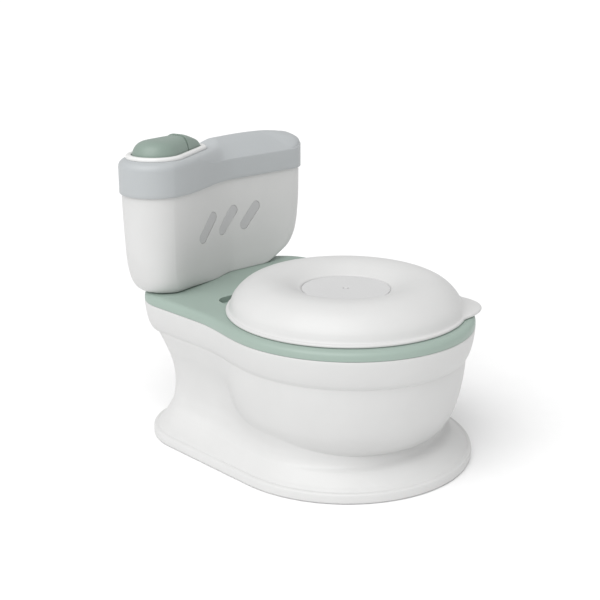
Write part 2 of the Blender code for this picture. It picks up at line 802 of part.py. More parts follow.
tank_lid = on_cover(
    lid_solid(TANK_PLAN, BAND_Z, 0.0, "tank_lid"), "tank_lid", (GREY, 0.4, 0.0)
)
lid_hollow = tool(lid_solid(inset(TANK_PLAN, 2.2), BAND_Z - 3.0, 2.5, "lid_hollow"), "lid_hollow")
for i, (x, y) in enumerate(CASE_SCREWS):
    boss = tool(cylinder(x, y, 299.8, 320.0, 3.6, 20), f"case_boss_{i}")
    boolean(lid_hollow, boss, "DIFFERENCE")
boolean(tank_lid, lid_hollow, "DIFFERENCE")
module_opening = tool(
    loft([ring_at(rim(29.9, 15.2), 290.0), ring_at(rim(29.9, 15.2), 330.0)], "module_opening"),
    "module_opening",
)
boolean(tank_lid, module_opening, "DIFFERENCE")
housing_top = tool(
    loft([ring_at(rim(34.9, 19.1), 307.0), ring_at(rim(34.9, 19.1), 330.0)], "housing_top"),
    "housing_top",
)
boolean(tank_lid, housing_top, "DIFFERENCE")
for i, (x, y) in enumerate(CASE_SCREWS):
    pilot = tool(cylinder(x, y, 298.0, 304.4, 1.6, 12), f"case_pilot_{i}")
    boolean(tank_lid, pilot, "DIFFERENCE")


# ---------------------------------------------------------------- bezel and buttons

bezel_rings = [
    ring_at(rim(29.3, 14.6), 302.1),
    ring_at(rim(29.3, 14.6), 307.3),
    ring_at(rim(34.2, 18.4), 307.3),
    ring_at(rim(34.4, 18.6), 308.4),
    ring_at(rim(33.4, 17.6), 309.8),
    ring_at(rim(31.2, 15.6), 310.6),
    ring_at(rim(28.4, 13.6), 310.5),
]
bezel = on_cover(loft(bezel_rings, "button_bezel"), "button_bezel", (WHITE, 0.3, 0.0))
bezel_hole = tool(
    loft(
        [
            ring_at(rim(27.0, 12.3), 300.0),
            ring_at(rim(27.0, 12.3), 309.4),
            ring_at(rim(27.8, 13.1), 311.0),
        ],
        "bezel_hole",
    ),
    "bezel_hole",
)
boolean(bezel, bezel_hole, "DIFFERENCE")

PILL_HEAD_R, PILL_TAIL_R = 26.4, 11.7
PILL_INSETS = (0.0, 0.4, 1.2, 2.6, 4.6, 7.4, 11.2, 15.8, 20.4, 24.6)
DOME_BASE, DOME_TOP = 308.0, 327.0
FALL, FALL_START, FALL_LENGTH = 16.0, 39.0, 42.6
LARGE_DROP = 1.6


def pill_outline(inset_by):
    """The buttons' joint outline drawn in, with points along its sides for the dome to fall by."""
    points = rim(PILL_HEAD_R - inset_by, max(PILL_TAIL_R - inset_by, 0.4))
    head, tail = points[:19], points[19:]
    outline = []
    for arc, following in ((head, tail), (tail, head)):
        (ax, ay), (bx, by) = arc[-1], following[0]
        outline += arc
        outline += [(ax + (bx - ax) * i / 6, ay + (by - ay) * i / 6) for i in range(1, 6)]
    return outline


def dome_ring(inset_by, drop):
    """A ring of the domed top, which falls away towards the tail."""
    span = math.dist(RIM_HEAD, RIM_TAIL)
    axis_x = (RIM_TAIL[0] - RIM_HEAD[0]) / span
    axis_y = (RIM_TAIL[1] - RIM_HEAD[1]) / span
    ring = []
    for x, y in pill_outline(inset_by):
        along = (x - RIM_HEAD[0]) * axis_x + (y - RIM_HEAD[1]) * axis_y
        share = min(max(along / span, 0.0), 1.0)
        half_width = PILL_HEAD_R + (PILL_TAIL_R - PILL_HEAD_R) * share
        top = DOME_TOP - FALL * smooth((along - FALL_START) / FALL_LENGTH)
        rise = math.sqrt(1.0 - (1.0 - min(inset_by / half_width, 1.0)) ** 3.36)
        height = (top - DOME_BASE) * rise
        ring.append((x, y, DOME_BASE + height - drop * min(height / 8.0, 1.0)))
    return ring


def pill_rings(drop):
    """The retaining flange, walls and domed top that both buttons share, lowered by drop."""
    rings = []
    for z, inset_by in ((300.0, -2.0), (301.8, -2.0), (301.9, 0.0)):
        rings.append(ring_at(pill_outline(inset_by), z))
    return rings + [dome_ring(inset_by, drop) for inset_by in PILL_INSETS]


def split_region(shift):
    """Everything left of the shallow arc that parts the buttons, moved to the right by shift."""
    heading = math.atan2(RIM_TAIL[1] - RIM_HEAD[1], RIM_TAIL[0] - RIM_HEAD[0])
    points = []
    for i in range(9):
        across = -32.0 + 8.0 * i
        along = shift + 2.4 * (1.0 - (across / 18.0) ** 2)
        x = SPLIT[0] + along * math.cos(heading) - across * math.sin(heading)
        points.append((x, SPLIT[1] + along * math.sin(heading) + across * math.cos(heading)))
    points += [(-150.0, 260.0), (-150.0, 150.0)]
    return loft([ring_at(points, 290.0), ring_at(points, 340.0)], "button_split")


button_large = on_cover(
    loft(pill_rings(LARGE_DROP), "flush_button_large"),
    "flush_button_large",
    (GREEN, 0.35, 0.0),
    (LARGE_STEM[0], LARGE_STEM[1], 300.0),
)
boolean(button_large, tool(split_region(0.0), "large_side"), "INTERSECT")
large_hollow = tool(
    loft(
        [
            ring_at(hull(RIM_HEAD, 24.0, (-75.0, 205.0), 14.6), 298.0),
            ring_at(hull(RIM_HEAD, 24.0, (-75.0, 205.0), 14.6), 312.0),
            ring_at(hull(RIM_HEAD, 20.0, (-76.0, 204.8), 12.0), 317.6),
            ring_at(hull(RIM_HEAD, 13.0, (-78.0, 204.4), 8.0), 321.0),
        ],
        "large_hollow",
    ),
    "large_hollow",
)

button_small = on_cover(
    loft(pill_rings(0.0), "flush_button_small"),
    "flush_button_small",
    (GREEN, 0.35, 0.0),
    (SMALL_STEM[0], SMALL_STEM[1], 300.0),
)
boolean(button_small, tool(split_region(SPLIT_GAP), "small_side"), "DIFFERENCE")
small_plan = hull((-41.5, 213.8), 10.6, RIM_TAIL, 9.3, 14)
small_hollow = tool(
    loft(
        [
            ring_at(small_plan, 298.0),
            ring_at(small_plan, 307.0),
            ring_at(hull((-43.0, 213.4), 7.4, (-37.5, 214.9), 6.2, 14), 313.5),
        ],
        "small_hollow",
    ),
    "small_hollow",
)

for button, hollow_tool, (x, y), roof in (
    (button_large, large_hollow, LARGE_STEM, 321.0),
    (button_small, small_hollow, SMALL_STEM, 318.0),
):
    tube = tool(cylinder(x, y, 303.0, roof + 8.0, 8.4, 20), f"{button.name}_tube")
    boolean(hollow_tool, tube, "DIFFERENCE")
    boolean(button, hollow_tool, "DIFFERENCE")
    pocket = tool(cylinder(x, y, 296.0, 306.0, 7.0, 20), f"{button.name}_pocket")
    boolean(button, pocket, "DIFFERENCE")
    pin = tool(cylinder(x, y, 298.6, 308.0, 2.4, 14), f"{button.name}_pin")
    boolean(button, pin, "UNION")

# ---------------------------------------------------------------- sound module

case_rings = [
    ring_at(egg(26.0, 14.0), 262.0),
    ring_at(egg(26.5, 14.5), 263.0),
    ring_at(egg(26.5, 14.5), 287.0),
    ring_at(rim(30.1, 16.6, 14), 289.4),
    ring_at(rim(30.1, 16.6, 14), 299.5),
]
case = on_cover(loft(case_rings, "sound_module_case"), "sound_module_case", (WHITE, 0.5, 0.0))
case_hollow = tool(
    loft(
        [
            ring_at(egg(24.5, 12.5), 264.0),
            ring_at(egg(24.5, 12.5), 289.5),
            ring_at(rim(28.9, 15.2, 14), 289.5),
            ring_at(rim(28.9, 15.2, 14), 302.0),
        ],
        "case_hollow",
    ),
    "case_hollow",
)
for i, (ear_at, root) in enumerate(zip(CASE_SCREWS, EAR_ROOTS)):
    ear_plan = hull(root, 8.0, ear_at, 3.8, 16)
    ear = tool(loft([ring_at(ear_plan, 296.5), ring_at(ear_plan, 299.3)], "case_ear"), f"case_ear_{i}")
    boolean(case, ear, "UNION")
boolean(case, case_hollow, "DIFFERENCE")
for i, (x, y) in enumerate(CASE_SCREWS):
    hole = tool(cylinder(x, y, 294.0, 301.0, 1.9, 12), f"case_ear_hole_{i}")
    boolean(case, hole, "DIFFERENCE")
battery_opening = tool(box((-76.0, 205.6, 258.0), (-24.4, 228.2, 268.0)), "battery_opening")
boolean(case, battery_opening, "DIFFERENCE")
for i in range(5):
    x = -100.0 + 4.6 * i
    sound_hole = tool(box((x - 0.9, 192.0, 258.0), (x + 0.9, 215.0, 268.0)), f"sound_slot_{i}")
    boolean(case, sound_hole, "DIFFERENCE")

board_plan = rim(28.2, 14.5, 14)
on_cover(
    loft([ring_at(board_plan, 289.8), ring_at(board_plan, 291.4)], "circuit_board"),
    "circuit_board",
    ((0.05, 0.22, 0.10), 0.5, 0.0),
)

SWITCH_Z = 291.7
for name, (x, y) in (("tact_switch_large", LARGE_STEM), ("tact_switch_small", SMALL_STEM)):
    switch = on_cover(
        box((x - 3.0, y - 3.0, SWITCH_Z), (x + 3.0, y + 3.0, SWITCH_Z + 2.4)),
        name,
        (BLACK, 0.5, 0.0),
    )
    plunger = tool(cylinder(x, y, SWITCH_Z + 1.0, SWITCH_Z + 3.4, 1.75, 16), f"{name}_plunger")
    boolean(switch, plunger, "UNION")


def spring(name, x, y, low, high, radius, wire, turns, parent=cover):
    """A round-wire compression spring with its lowest and highest turn nearly closed."""
    curve = bpy.data.curves.new(name, "CURVE")
    curve.dimensions = "3D"
    curve.bevel_depth = wire * MM
    curve.bevel_resolution = 1
    curve.use_fill_caps = True
    points = 12 * turns + 1
    line = curve.splines.new("POLY")
    line.points.add(points - 1)
    for i in range(points):
        turn = 2 * math.pi * i / 12
        share = i / (points - 1)
        lift = smooth(share) * 0.35 + share * 0.65
        z = low + wire + (high - low - 2 * wire) * lift
        point = Vector((radius * math.cos(turn), radius * math.sin(turn), z - low)) * MM
        line.points[i].co = (*point, 1.0)
    made = bpy.data.objects.new(name, curve)
    made.location = Vector((x, y, low - BAND_Z)) * MM
    made.parent = parent
    curve.materials.append(material(name, STEEL, 0.3, 1.0))
    parts.objects.link(made)


spring("button_spring_large", *LARGE_STEM, SWITCH_Z, 305.7, 6.1, 0.45, 4)
spring("button_spring_small", *SMALL_STEM, SWITCH_Z, 305.7, 6.1, 0.45, 4)

speaker_profile = (
    (0.0, 264.4),
    (13.4, 264.4),
    (13.4, 266.2),
    (11.0, 268.4),
    (6.5, 268.4),
    (6.5, 271.6),
    (0.0, 271.6),
)
on_cover(
    turned(speaker_profile, -91.0, 203.4, 28, "speaker"),
    "speaker",
    (BLACK, 0.6, 0.1),
    (-91.0, 203.4, 264.4),
)

CELL_Y = (211.4, 222.6)
CELL_PROFILE = (
    (0.0, -22.0),
    (5.2, -22.0),
    (5.2, 20.8),
    (1.9, 20.8),
    (1.9, 22.0),
    (0.0, 22.0),
)
for i, (y, turn) in enumerate(zip(CELL_Y, (90.0, -90.0))):
    name = f"battery_cell_{i + 1}"
    mesh = turned(CELL_PROFILE, 0.0, 0.0, 24, name)
    cell = on_cover(mesh, name, ((0.12, 0.30, 0.22), 0.35, 0.3), (0.0, 0.0, 0.0))
    cell.rotation_euler = (0.0, math.radians(turn), 0.0)
    cell.location = Vector((-50.0, y, 271.6 - BAND_Z)) * MM

for name, low_x, high_x in (
    ("battery_contact_left", -74.0, -73.0),
    ("battery_contact_right", -27.0, -26.0),
):
    on_cover(
        box((low_x, 207.0, 266.4), (high_x, 227.0, 276.0)),
        name,
        (STEEL, 0.3, 1.0),
    )

door = on_cover(
    box((-83.0, 203.6, 259.6), (-19.0, 230.2, 261.7)),
    "battery_door",
    (WHITE, 0.5, 0.0),
)
door_screw_hole = tool(cylinder(-79.6, 217.0, 255.0, 265.5, 1.5, 12), "door_screw_hole")
boolean(door, door_screw_hole, "DIFFERENCE")
boolean(case, door_screw_hole, "DIFFERENCE")
screw(on_cover, "battery_door_screw", -79.6, 217.0, 257.6, 2.3, 1.7, 1.1, 266.0)
for where, (x, y) in zip(("right", "front", "left"), CASE_SCREWS):
    screw(on_cover, f"case_screw_{where}", x, y, 293.9, 2.7, 2.3, 1.3, 303.6)
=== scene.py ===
"""The looks of the potty training chair: fine surfaces, plastic materials, light and camera.

Sizes are in millimetres with the bowl's axis at x = 0, y = 0, as in the part. AXIS_Y moves them
to the row frame, and MM turns them into metres.
"""

import math

import bmesh
import bpy
import numpy as np
from mathutils import Matrix, Vector
from mathutils.bvhtree import BVHTree


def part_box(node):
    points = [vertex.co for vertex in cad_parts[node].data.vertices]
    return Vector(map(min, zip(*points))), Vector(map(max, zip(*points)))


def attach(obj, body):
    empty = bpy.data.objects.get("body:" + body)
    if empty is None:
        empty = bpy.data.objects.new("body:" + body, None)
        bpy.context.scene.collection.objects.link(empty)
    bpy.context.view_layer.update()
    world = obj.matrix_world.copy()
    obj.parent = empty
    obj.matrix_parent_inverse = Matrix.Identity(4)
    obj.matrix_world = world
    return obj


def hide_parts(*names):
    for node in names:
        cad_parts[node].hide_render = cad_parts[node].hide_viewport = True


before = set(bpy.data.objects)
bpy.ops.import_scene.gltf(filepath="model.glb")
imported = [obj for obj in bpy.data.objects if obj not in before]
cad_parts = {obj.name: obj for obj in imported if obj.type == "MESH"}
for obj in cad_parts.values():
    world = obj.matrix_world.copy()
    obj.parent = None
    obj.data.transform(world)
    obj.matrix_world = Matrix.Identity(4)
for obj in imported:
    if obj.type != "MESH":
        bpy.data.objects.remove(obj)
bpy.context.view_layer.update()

MM = 0.001
disc_low, disc_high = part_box("lid_inlay_disc")
LID_Y = 1.0
AXIS_Y = (disc_low.y + disc_high.y) / 2 / MM - LID_Y

# ---------------------------------------------------------------- driving dimensions

WALL = 2.6
# The front is half an ellipse about this line, and the sides draw in from there to BLEND_END_Y.
FRONT_CENTRE_Y = 3.5
BLEND_END_Y = 100.0
BOWL_Y = FRONT_CENTRE_Y + 0.3
# The base's radii are measured from this point of the centre line.
POLE_Y = 35.0
# Fillets where the bowl meets the pedestal, and where the collar meets the bowl
BOWL_FILLET, COLLAR_FILLET = 0.45, 0.9
COLLAR_TOP = 148.4
DECK_BOTTOM = 148.7
DECK_TOP = 158.8

POT_Y = -4.0
POT_X_R, POT_Y_R = 80.0, 98.0
RIM_Z = 156.2
POT_BOTTOM = 62.0
RIM_REACH = 10.2
GUARD_RISE = 20.0
GUARD_HALF_TURN = 1.05
GRIP_X, GRIP_REAR = 40.0, 114.0
# How far the deck's opening, its rebate and the thick wall round them reach past the pot's outline
OPENING_GAP, REBATE_GAP, RING_WALL_GAP = 1.5, 11.0, 17.0
WELL_X, WELL_FRONT, WELL_REAR, WELL_FLOOR = 80.0, 78.0, 123.5, 152.4

LID_R = 126.7
INLAY_R = 46.5
TAB_TURN = math.radians(47.0)
TAB_HALF = math.radians(19.0)
TAB_REACH = 16.6
TAB_RISE = 0.9
# The tab starts to stand out at the first height and is at its full reach at the second.
TAB_ROOT_Z, TAB_FULL_Z = 172.0, 162.4

TANK_WALL = 2.5
TUB_BOTTOM, TUB_TOP = 159.1, 288.0
BAND_BOTTOM = 268.8
LOBE_CENTRE, LOBE_R = (-94.3, 199.8), 40.5
TANK_END_X = 134.6
TANK_FRONT_Y, TANK_REAR_Y = 195.2, 240.3
TANK_CORNER_R = 28.0
# Points on each half of the tank's outline
TANK_HALF = 190
WINDOW_Z = 222.0
WINDOW_R = 6.15
SLOT_GAP = 0.2
# middle, slant in degrees, half-length between the end circles, widening where the front turns away
WINDOWS = ((-38.0, 51.0, 15.0, 1.42), (2.8, 46.0, 13.9, 1.1), (38.8, 44.0, 13.1, 1.04))

# Height of the band's upper edge round the lobe, and along the straight front
LOBE_CREASE, FRONT_CREASE = 298.0, 293.6
HOUSING_Z = 306.3
HOUSING_HEAD_R = 34.6

# Centres of the two ends of the outline that the housing, the bezel and the buttons share
HEAD, TAIL = (-91.7, 202.6), (-30.6, 218.7)
RIM_TAPER = 15.2
PILL_HEAD_R, PILL_TAIL_R = 26.1, 10.9
# The buttons' flange passes between the sound module's ends when pressed, so it is centred on them.
FLANGE_HEAD, FLANGE_TAIL = (-92.1, 200.6), (-28.7, 217.3)
FLANGE_HEAD_R, FLANGE_TAIL_R = 28.2, 13.4
FLANGE_LOW, FLANGE_HIGH = 300.0, 301.8
DOME_BASE, DOME_TOP = 307.6, 326.6
DOME_POWER = 3.3
FALL, FALL_START, FALL_LENGTH = 13.1, 34.0, 51.0
LARGE_DROP = 1.6
SPLIT, SPLIT_GAP = (-58.2, 211.4), 1.4
SPLIT_BOW, SPLIT_HALF = 2.4, 18.0
LARGE_STEM, SMALL_STEM = (-84.0, 204.5), (-32.5, 216.3)

SCREW_SPOTS = {
    "deck_screw_front_right": (104.0, -56.0),
    "deck_screw_front_left": (-104.0, -56.0),
    "deck_screw_rear_right": (102.0, 150.0),
    "deck_screw_rear_left": (-102.0, 150.0),
}
FOOT_SPOTS = {
    "foot_front_right": (88.0, -86.0),
    "foot_front_left": (-88.0, -86.0),
    "foot_rear_right": (112.0, 152.0),
    "foot_rear_left": (-112.0, 152.0),
}


# ---------------------------------------------------------------- curves and outlines


def smooth(t):
    t = np.clip(t, 0.0, 1.0)
    return t * t * (3.0 - 2.0 * t)


def full_turn(count):
    return np.linspace(0.0, 2 * math.pi, count, endpoint=False)


def arc(x, y, radius, turn):
    """Points of a circle about x, y, at the turns given."""
    return np.column_stack([x + radius * np.cos(turn), y + radius * np.sin(turn)])


def curve(points, per=6):
    """Points along a centripetal Catmull-Rom curve through the points given."""
    p = np.asarray(points, float)
    padded = np.vstack([2 * p[0] - p[1], p, 2 * p[-1] - p[-2]])
    found = []
    for i in range(len(p) - 1):
        a, b, c, d = padded[i : i + 4]
        t = [0.0]
        for one, two in ((a, b), (b, c), (c, d)):
            t.append(t[-1] + max(np.linalg.norm(two - one), 1e-9) ** 0.5)
        u = np.linspace(t[1], t[2], per, endpoint=False)[:, None]
        ab = (t[1] - u) / (t[1] - t[0]) * a + (u - t[0]) / (t[1] - t[0]) * b
        bc = (t[2] - u) / (t[2] - t[1]) * b + (u - t[1]) / (t[2] - t[1]) * c
        cd = (t[3] - u) / (t[3] - t[2]) * c + (u - t[2]) / (t[3] - t[2]) * d
        abc = (t[2] - u) / (t[2] - t[0]) * ab + (u - t[0]) / (t[2] - t[0]) * bc
        bcd = (t[3] - u) / (t[3] - t[1]) * bc + (u - t[1]) / (t[3] - t[1]) * cd
        found.append((t[2] - u) / (t[2] - t[1]) * abc + (u - t[1]) / (t[2] - t[1]) * bcd)
    return np.vstack(found + [p[-1:]])


def path(*runs, per=6):
    """Several smooth runs that meet at corners, as one row of points."""
    pieces = [curve(run, per) for run in runs]
    return np.vstack([pieces[0]] + [piece[1:] for piece in pieces[1:]])


def read(table, z):
    """A row of numbers at height z from a table whose first column is height."""
    return [np.interp(z, table[:, 0], table[:, i]) for i in range(1, table.shape[1])]


def resample(outline, count, closed=True):
    """The same outline with evenly spaced points, from the same first point."""
    ring = np.vstack([outline, outline[:1]]) if closed else np.asarray(outline)
    length = np.concatenate([[0.0], np.cumsum(np.linalg.norm(np.diff(ring, axis=0), axis=1))])
    at = np.linspace(0.0, length[-1], count + 1 if closed else count)
    points = np.stack([np.interp(at, length, ring[:, i]) for i in range(2)], axis=1)
    return points[:-1] if closed else points


def normals_of(outline):
    along = np.roll(outline, -1, axis=0) - np.roll(outline, 1, axis=0)
    along /= np.linalg.norm(along, axis=1)[:, None]
    return np.stack([along[:, 1], -along[:, 0]], axis=1)


def inset(outline, distance):
    return outline - normals_of(outline) * distance


def lift(outline, z):
    return np.column_stack([outline, np.full(len(outline), z) if np.isscalar(z) else z])


def body_plan(front_x, front_y, side_x, rear_y, corner):
    """Elliptical front, sides that narrow along an S-curve, and rounded rear corners."""
    turn = np.linspace(0.0, math.pi / 2, 60)
    front = np.column_stack([front_x * np.sin(turn), FRONT_CENTRE_Y - front_y * np.cos(turn)])
    t = np.linspace(0.0, 1.0, 40)[1:]
    side_y = FRONT_CENTRE_Y + (BLEND_END_Y - FRONT_CENTRE_Y) * t
    side = np.column_stack([front_x + (side_x - front_x) * smooth(t), side_y])
    rear = arc(side_x - corner, rear_y - corner, corner, np.linspace(0.0, math.pi / 2, 40))
    half = np.vstack([front, side, rear])
    return np.vstack([half, half[:0:-1] * (-1.0, 1.0)])


def oval(radius_x, radius_y, centre_y, count=240):
    turn = full_turn(count)
    return np.column_stack([radius_x * np.sin(turn), centre_y - radius_y * np.cos(turn)])


def hull(first, first_r, second, second_r, count=200):
    """Outline of the hull of two circles, the first at the left and the larger one."""
    ax, ay = first
    bx, by = second
    heading = math.atan2(by - ay, bx - ax)
    lean = math.acos((first_r - second_r) / math.hypot(bx - ax, by - ay))
    big = heading + lean + (2 * math.pi - 2 * lean) * np.linspace(0.0, 1.0, 90)
    small = heading - lean + 2 * lean * np.linspace(0.0, 1.0, 60)
    return resample(np.vstack([arc(ax, ay, first_r, big), arc(bx, by, second_r, small)]), count)


def rim(head_r):
    """The outline that the housing, the bezel and the buttons share, by its radius at the head."""
    return hull(HEAD, head_r, TAIL, head_r - RIM_TAPER, 220)


def tank_plan():
    """The tank's outline: its front from the left tip to the right, then its rear back again."""
    sweep_x, sweep_run, sweep_y = -100.0, 118.0, 159.6
    t = np.linspace(0.0, 1.0, 60)
    sweep = [sweep_x + sweep_run * t, sweep_y + (TANK_FRONT_Y - sweep_y) * smooth(t)]
    corner_x, corner_r = TANK_END_X - TANK_CORNER_R, TANK_CORNER_R
    front = np.vstack(
        [
            arc(*LOBE_CENTRE, LOBE_R, np.radians(np.linspace(180.0, 261.0, 40))),
            np.column_stack(sweep),
            arc(corner_x, TANK_FRONT_Y + corner_r, corner_r, np.linspace(-math.pi / 2, 0.0, 30)),
        ]
    )
    corner_r = TANK_REAR_Y - TANK_FRONT_Y - TANK_CORNER_R
    corner_x = TANK_END_X - corner_r
    rear = np.vstack(
        [
            arc(corner_x, TANK_REAR_Y - corner_r, corner_r, np.linspace(0.0, math.pi / 2, 24)),
            arc(*LOBE_CENTRE, LOBE_R, np.radians(np.linspace(90.0, 180.0, 40))),
        ]
    )
    halves = [resample(half, TANK_HALF + 1, closed=False)[:-1] for half in (front, rear)]
    return np.vstack(halves)


# ---------------------------------------------------------------- meshes


def shade(obj, sharp):
    """Smooth shading, with a hard line at any edge that turns by more than sharp degrees."""
    obj.data.shade_smooth()
    obj.data.set_sharp_from_angle(angle=math.radians(sharp))


def paint(obj, material):
    obj.data.materials.clear()
    obj.data.materials.append(material)


def finished(obj, body, material, node, sharp=38.0):
    """Shades a piece, gives it its body and material, and hides the CAD node it replaces."""
    shade(obj, sharp)
    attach(obj, body)
    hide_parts(node)
    paint(obj, material)


def linked(data, name):
    obj = bpy.data.objects.new(name, data)
    bpy.context.scene.collection.objects.link(obj)
    return obj


def grid(name, rings, closed=False, cap_low=False, cap_high=False, merge=0.0):
    """A mesh through rings of equal length; where closed, the last ring joins the first.

    Ring after ring it goes up the outside, and then down the inside where there is one.
    """
    rings = np.asarray(rings, float)
    rows, cols = rings.shape[:2]
    points = (rings.reshape(-1, 3) + (0.0, AXIS_Y, 0.0)) * MM
    index = np.arange(rows * cols).reshape(rows, cols)
    low = index if closed else index[:-1]
    high = np.roll(index, -1, axis=0) if closed else index[1:]
    quads = np.stack(
        [low, np.roll(low, -1, axis=1), np.roll(high, -1, axis=1), high], axis=-1
    ).reshape(-1, 4)
    faces = quads.tolist()
    if cap_low:
        faces.append(index[0][::-1].tolist())
    if cap_high:
        faces.append(index[-1].tolist())
    mesh = bpy.data.meshes.new(name)
    mesh.from_pydata(points.tolist(), [], faces)
    if merge:
        bm = bmesh.new()
        bm.from_mesh(mesh)
        bmesh.ops.remove_doubles(bm, verts=bm.verts, dist=merge * MM)
        bm.to_mesh(mesh)
        bm.free()
    mesh.update()
    return linked(mesh, name)


def lathe(name, profile, x, y, count=48):
    """A solid of revolution about a vertical axis, from a profile of (radius, z), top to bottom."""
    turn = full_turn(count)
    rings = [lift(arc(x, y, radius, turn), z) for radius, z in profile[::-1]]
    return grid(name, rings, cap_low=True, cap_high=True)


def prism(name, outline, low, high):
    return grid(name, [lift(outline, low), lift(outline, high)], cap_low=True, cap_high=True)


def bake(obj):
    """Applies the modifiers to the mesh."""
    graph = bpy.context.evaluated_depsgraph_get()
    mesh = bpy.data.meshes.new_from_object(obj.evaluated_get(graph))
    obj.modifiers.clear()
    obj.data = mesh


def joined(obj, *others):
    """Adds the others' meshes to obj's without a Boolean."""
    bm = bmesh.new()
    bm.from_mesh(obj.data)
    for other in others:
        bm.from_mesh(other.data)
        bpy.data.objects.remove(other)
    bm.to_mesh(obj.data)
    bm.free()


def combine(obj, *steps):
    """Booleans in order: each step is an operation and a helper, which is then removed."""
    for operation, other in steps:
        made = obj.modifiers.new(operation, "BOOLEAN")
        made.operation = operation
        made.solver = "EXACT"
        made.object = other
    bake(obj)
    for _, other in steps:
        bpy.data.objects.remove(other)


def round_edges(obj, width, segments, angle):
    made = obj.modifiers.new("round", "BEVEL")
    made.width = width * MM
    made.segments = segments
    made.limit_method = "ANGLE"
    made.angle_limit = math.radians(angle)
    made.harden_normals = True
    bake(obj)


# ---------------------------------------------------------------- materials


# Noise scales are in cycles per metre, and the bump's depth is in metres.
MOTTLE_SCALE, GRAIN_SCALE = 26.0, 2400.0
GRAIN_DEPTH = 0.0002


def plastic(name, colour, roughness, grain=0.05, mottle=0.012):
    """Moulded plastic: a fine grain that also varies the gloss, and faintly mottled colour."""
    made = bpy.data.materials.new(name)
    made.use_nodes = True
    nodes, links = made.node_tree.nodes, made.node_tree.links
    shader = nodes["Principled BSDF"]
    place = nodes.new("ShaderNodeTexCoord")

    def noise(scale, detail):
        texture = nodes.new("ShaderNodeTexNoise")
        texture.inputs["Scale"].default_value = scale
        texture.inputs["Detail"].default_value = detail
        links.new(place.outputs["Object"], texture.inputs["Vector"])
        return texture.outputs["Fac"]

    cloud = noise(MOTTLE_SCALE, 4.0)
    speckle = noise(GRAIN_SCALE, 2.0)
    ramp = nodes.new("ShaderNodeValToRGB")
    stops = ramp.color_ramp.elements
    for i, (position, share) in enumerate(((0.3, 1.0 - mottle), (0.7, 1.0 + mottle))):
        stops[i].position = position
        stops[i].color = (*(min(c * share, 1.0) for c in colour), 1.0)
    links.new(cloud, ramp.inputs["Fac"])
    links.new(ramp.outputs["Color"], shader.inputs["Base Color"])
    gloss = nodes.new("ShaderNodeMapRange")
    gloss.inputs["From Min"].default_value = 0.25
    gloss.inputs["From Max"].default_value = 0.75
    gloss.inputs["To Min"].default_value = roughness * 0.9
    gloss.inputs["To Max"].default_value = roughness * 1.1
    links.new(speckle, gloss.inputs["Value"])
    links.new(gloss.outputs["Result"], shader.inputs["Roughness"])
    fine = nodes.new("ShaderNodeBump")
    fine.inputs["Strength"].default_value = grain
    fine.inputs["Distance"].default_value = GRAIN_DEPTH
    links.new(speckle, fine.inputs["Height"])
    links.new(fine.outputs["Normal"], shader.inputs["Normal"])
    return made


def metal(name, colour, roughness):
    made = plastic(name, colour, roughness, grain=0.04, mottle=0.05)
    made.node_tree.nodes["Principled BSDF"].inputs["Metallic"].default_value = 1.0
    return made


WHITE = (0.625, 0.625, 0.62)
GREEN = (0.315, 0.395, 0.35)
GREY = (0.43, 0.45, 0.46)

white_shell = plastic("white_shell", WHITE, 0.46)
white_lid = plastic("white_lid", WHITE, 0.46)
white_tank = plastic("white_tank", WHITE, 0.46)
white_pot = plastic("white_pot", WHITE, 0.3)
white_gloss = plastic("white_gloss", (0.74, 0.74, 0.735), 0.25, grain=0.02)
white_case = plastic("white_case", (0.62, 0.62, 0.60), 0.5)
inlay_grey = plastic("inlay_grey", (0.60, 0.60, 0.60), 0.45)
window_grey = plastic("window_grey", (0.50, 0.50, 0.505), 0.45)
seat_green = plastic("seat_green", GREEN, 0.42, grain=0.09)
button_green = plastic("button_green", (0.235, 0.30, 0.262), 0.42, grain=0.06)
cover_grey = plastic("cover_grey", GREY, 0.45, grain=0.08)
board_green = plastic("board_green", (0.05, 0.20, 0.10), 0.3, mottle=0.15)
black_resin = plastic("black_resin", (0.03, 0.03, 0.03), 0.45, mottle=0.1)
cell_sleeve = plastic("cell_sleeve", (0.10, 0.28, 0.20), 0.3, mottle=0.1)
foot_rubber = plastic("foot_rubber", (0.06, 0.06, 0.06), 0.75, grain=0.3, mottle=0.15)
zinc = metal("zinc", (0.62, 0.61, 0.58), 0.34)
spring_steel = metal("spring_steel", (0.56, 0.56, 0.57), 0.28)

# ---------------------------------------------------------------- base shell

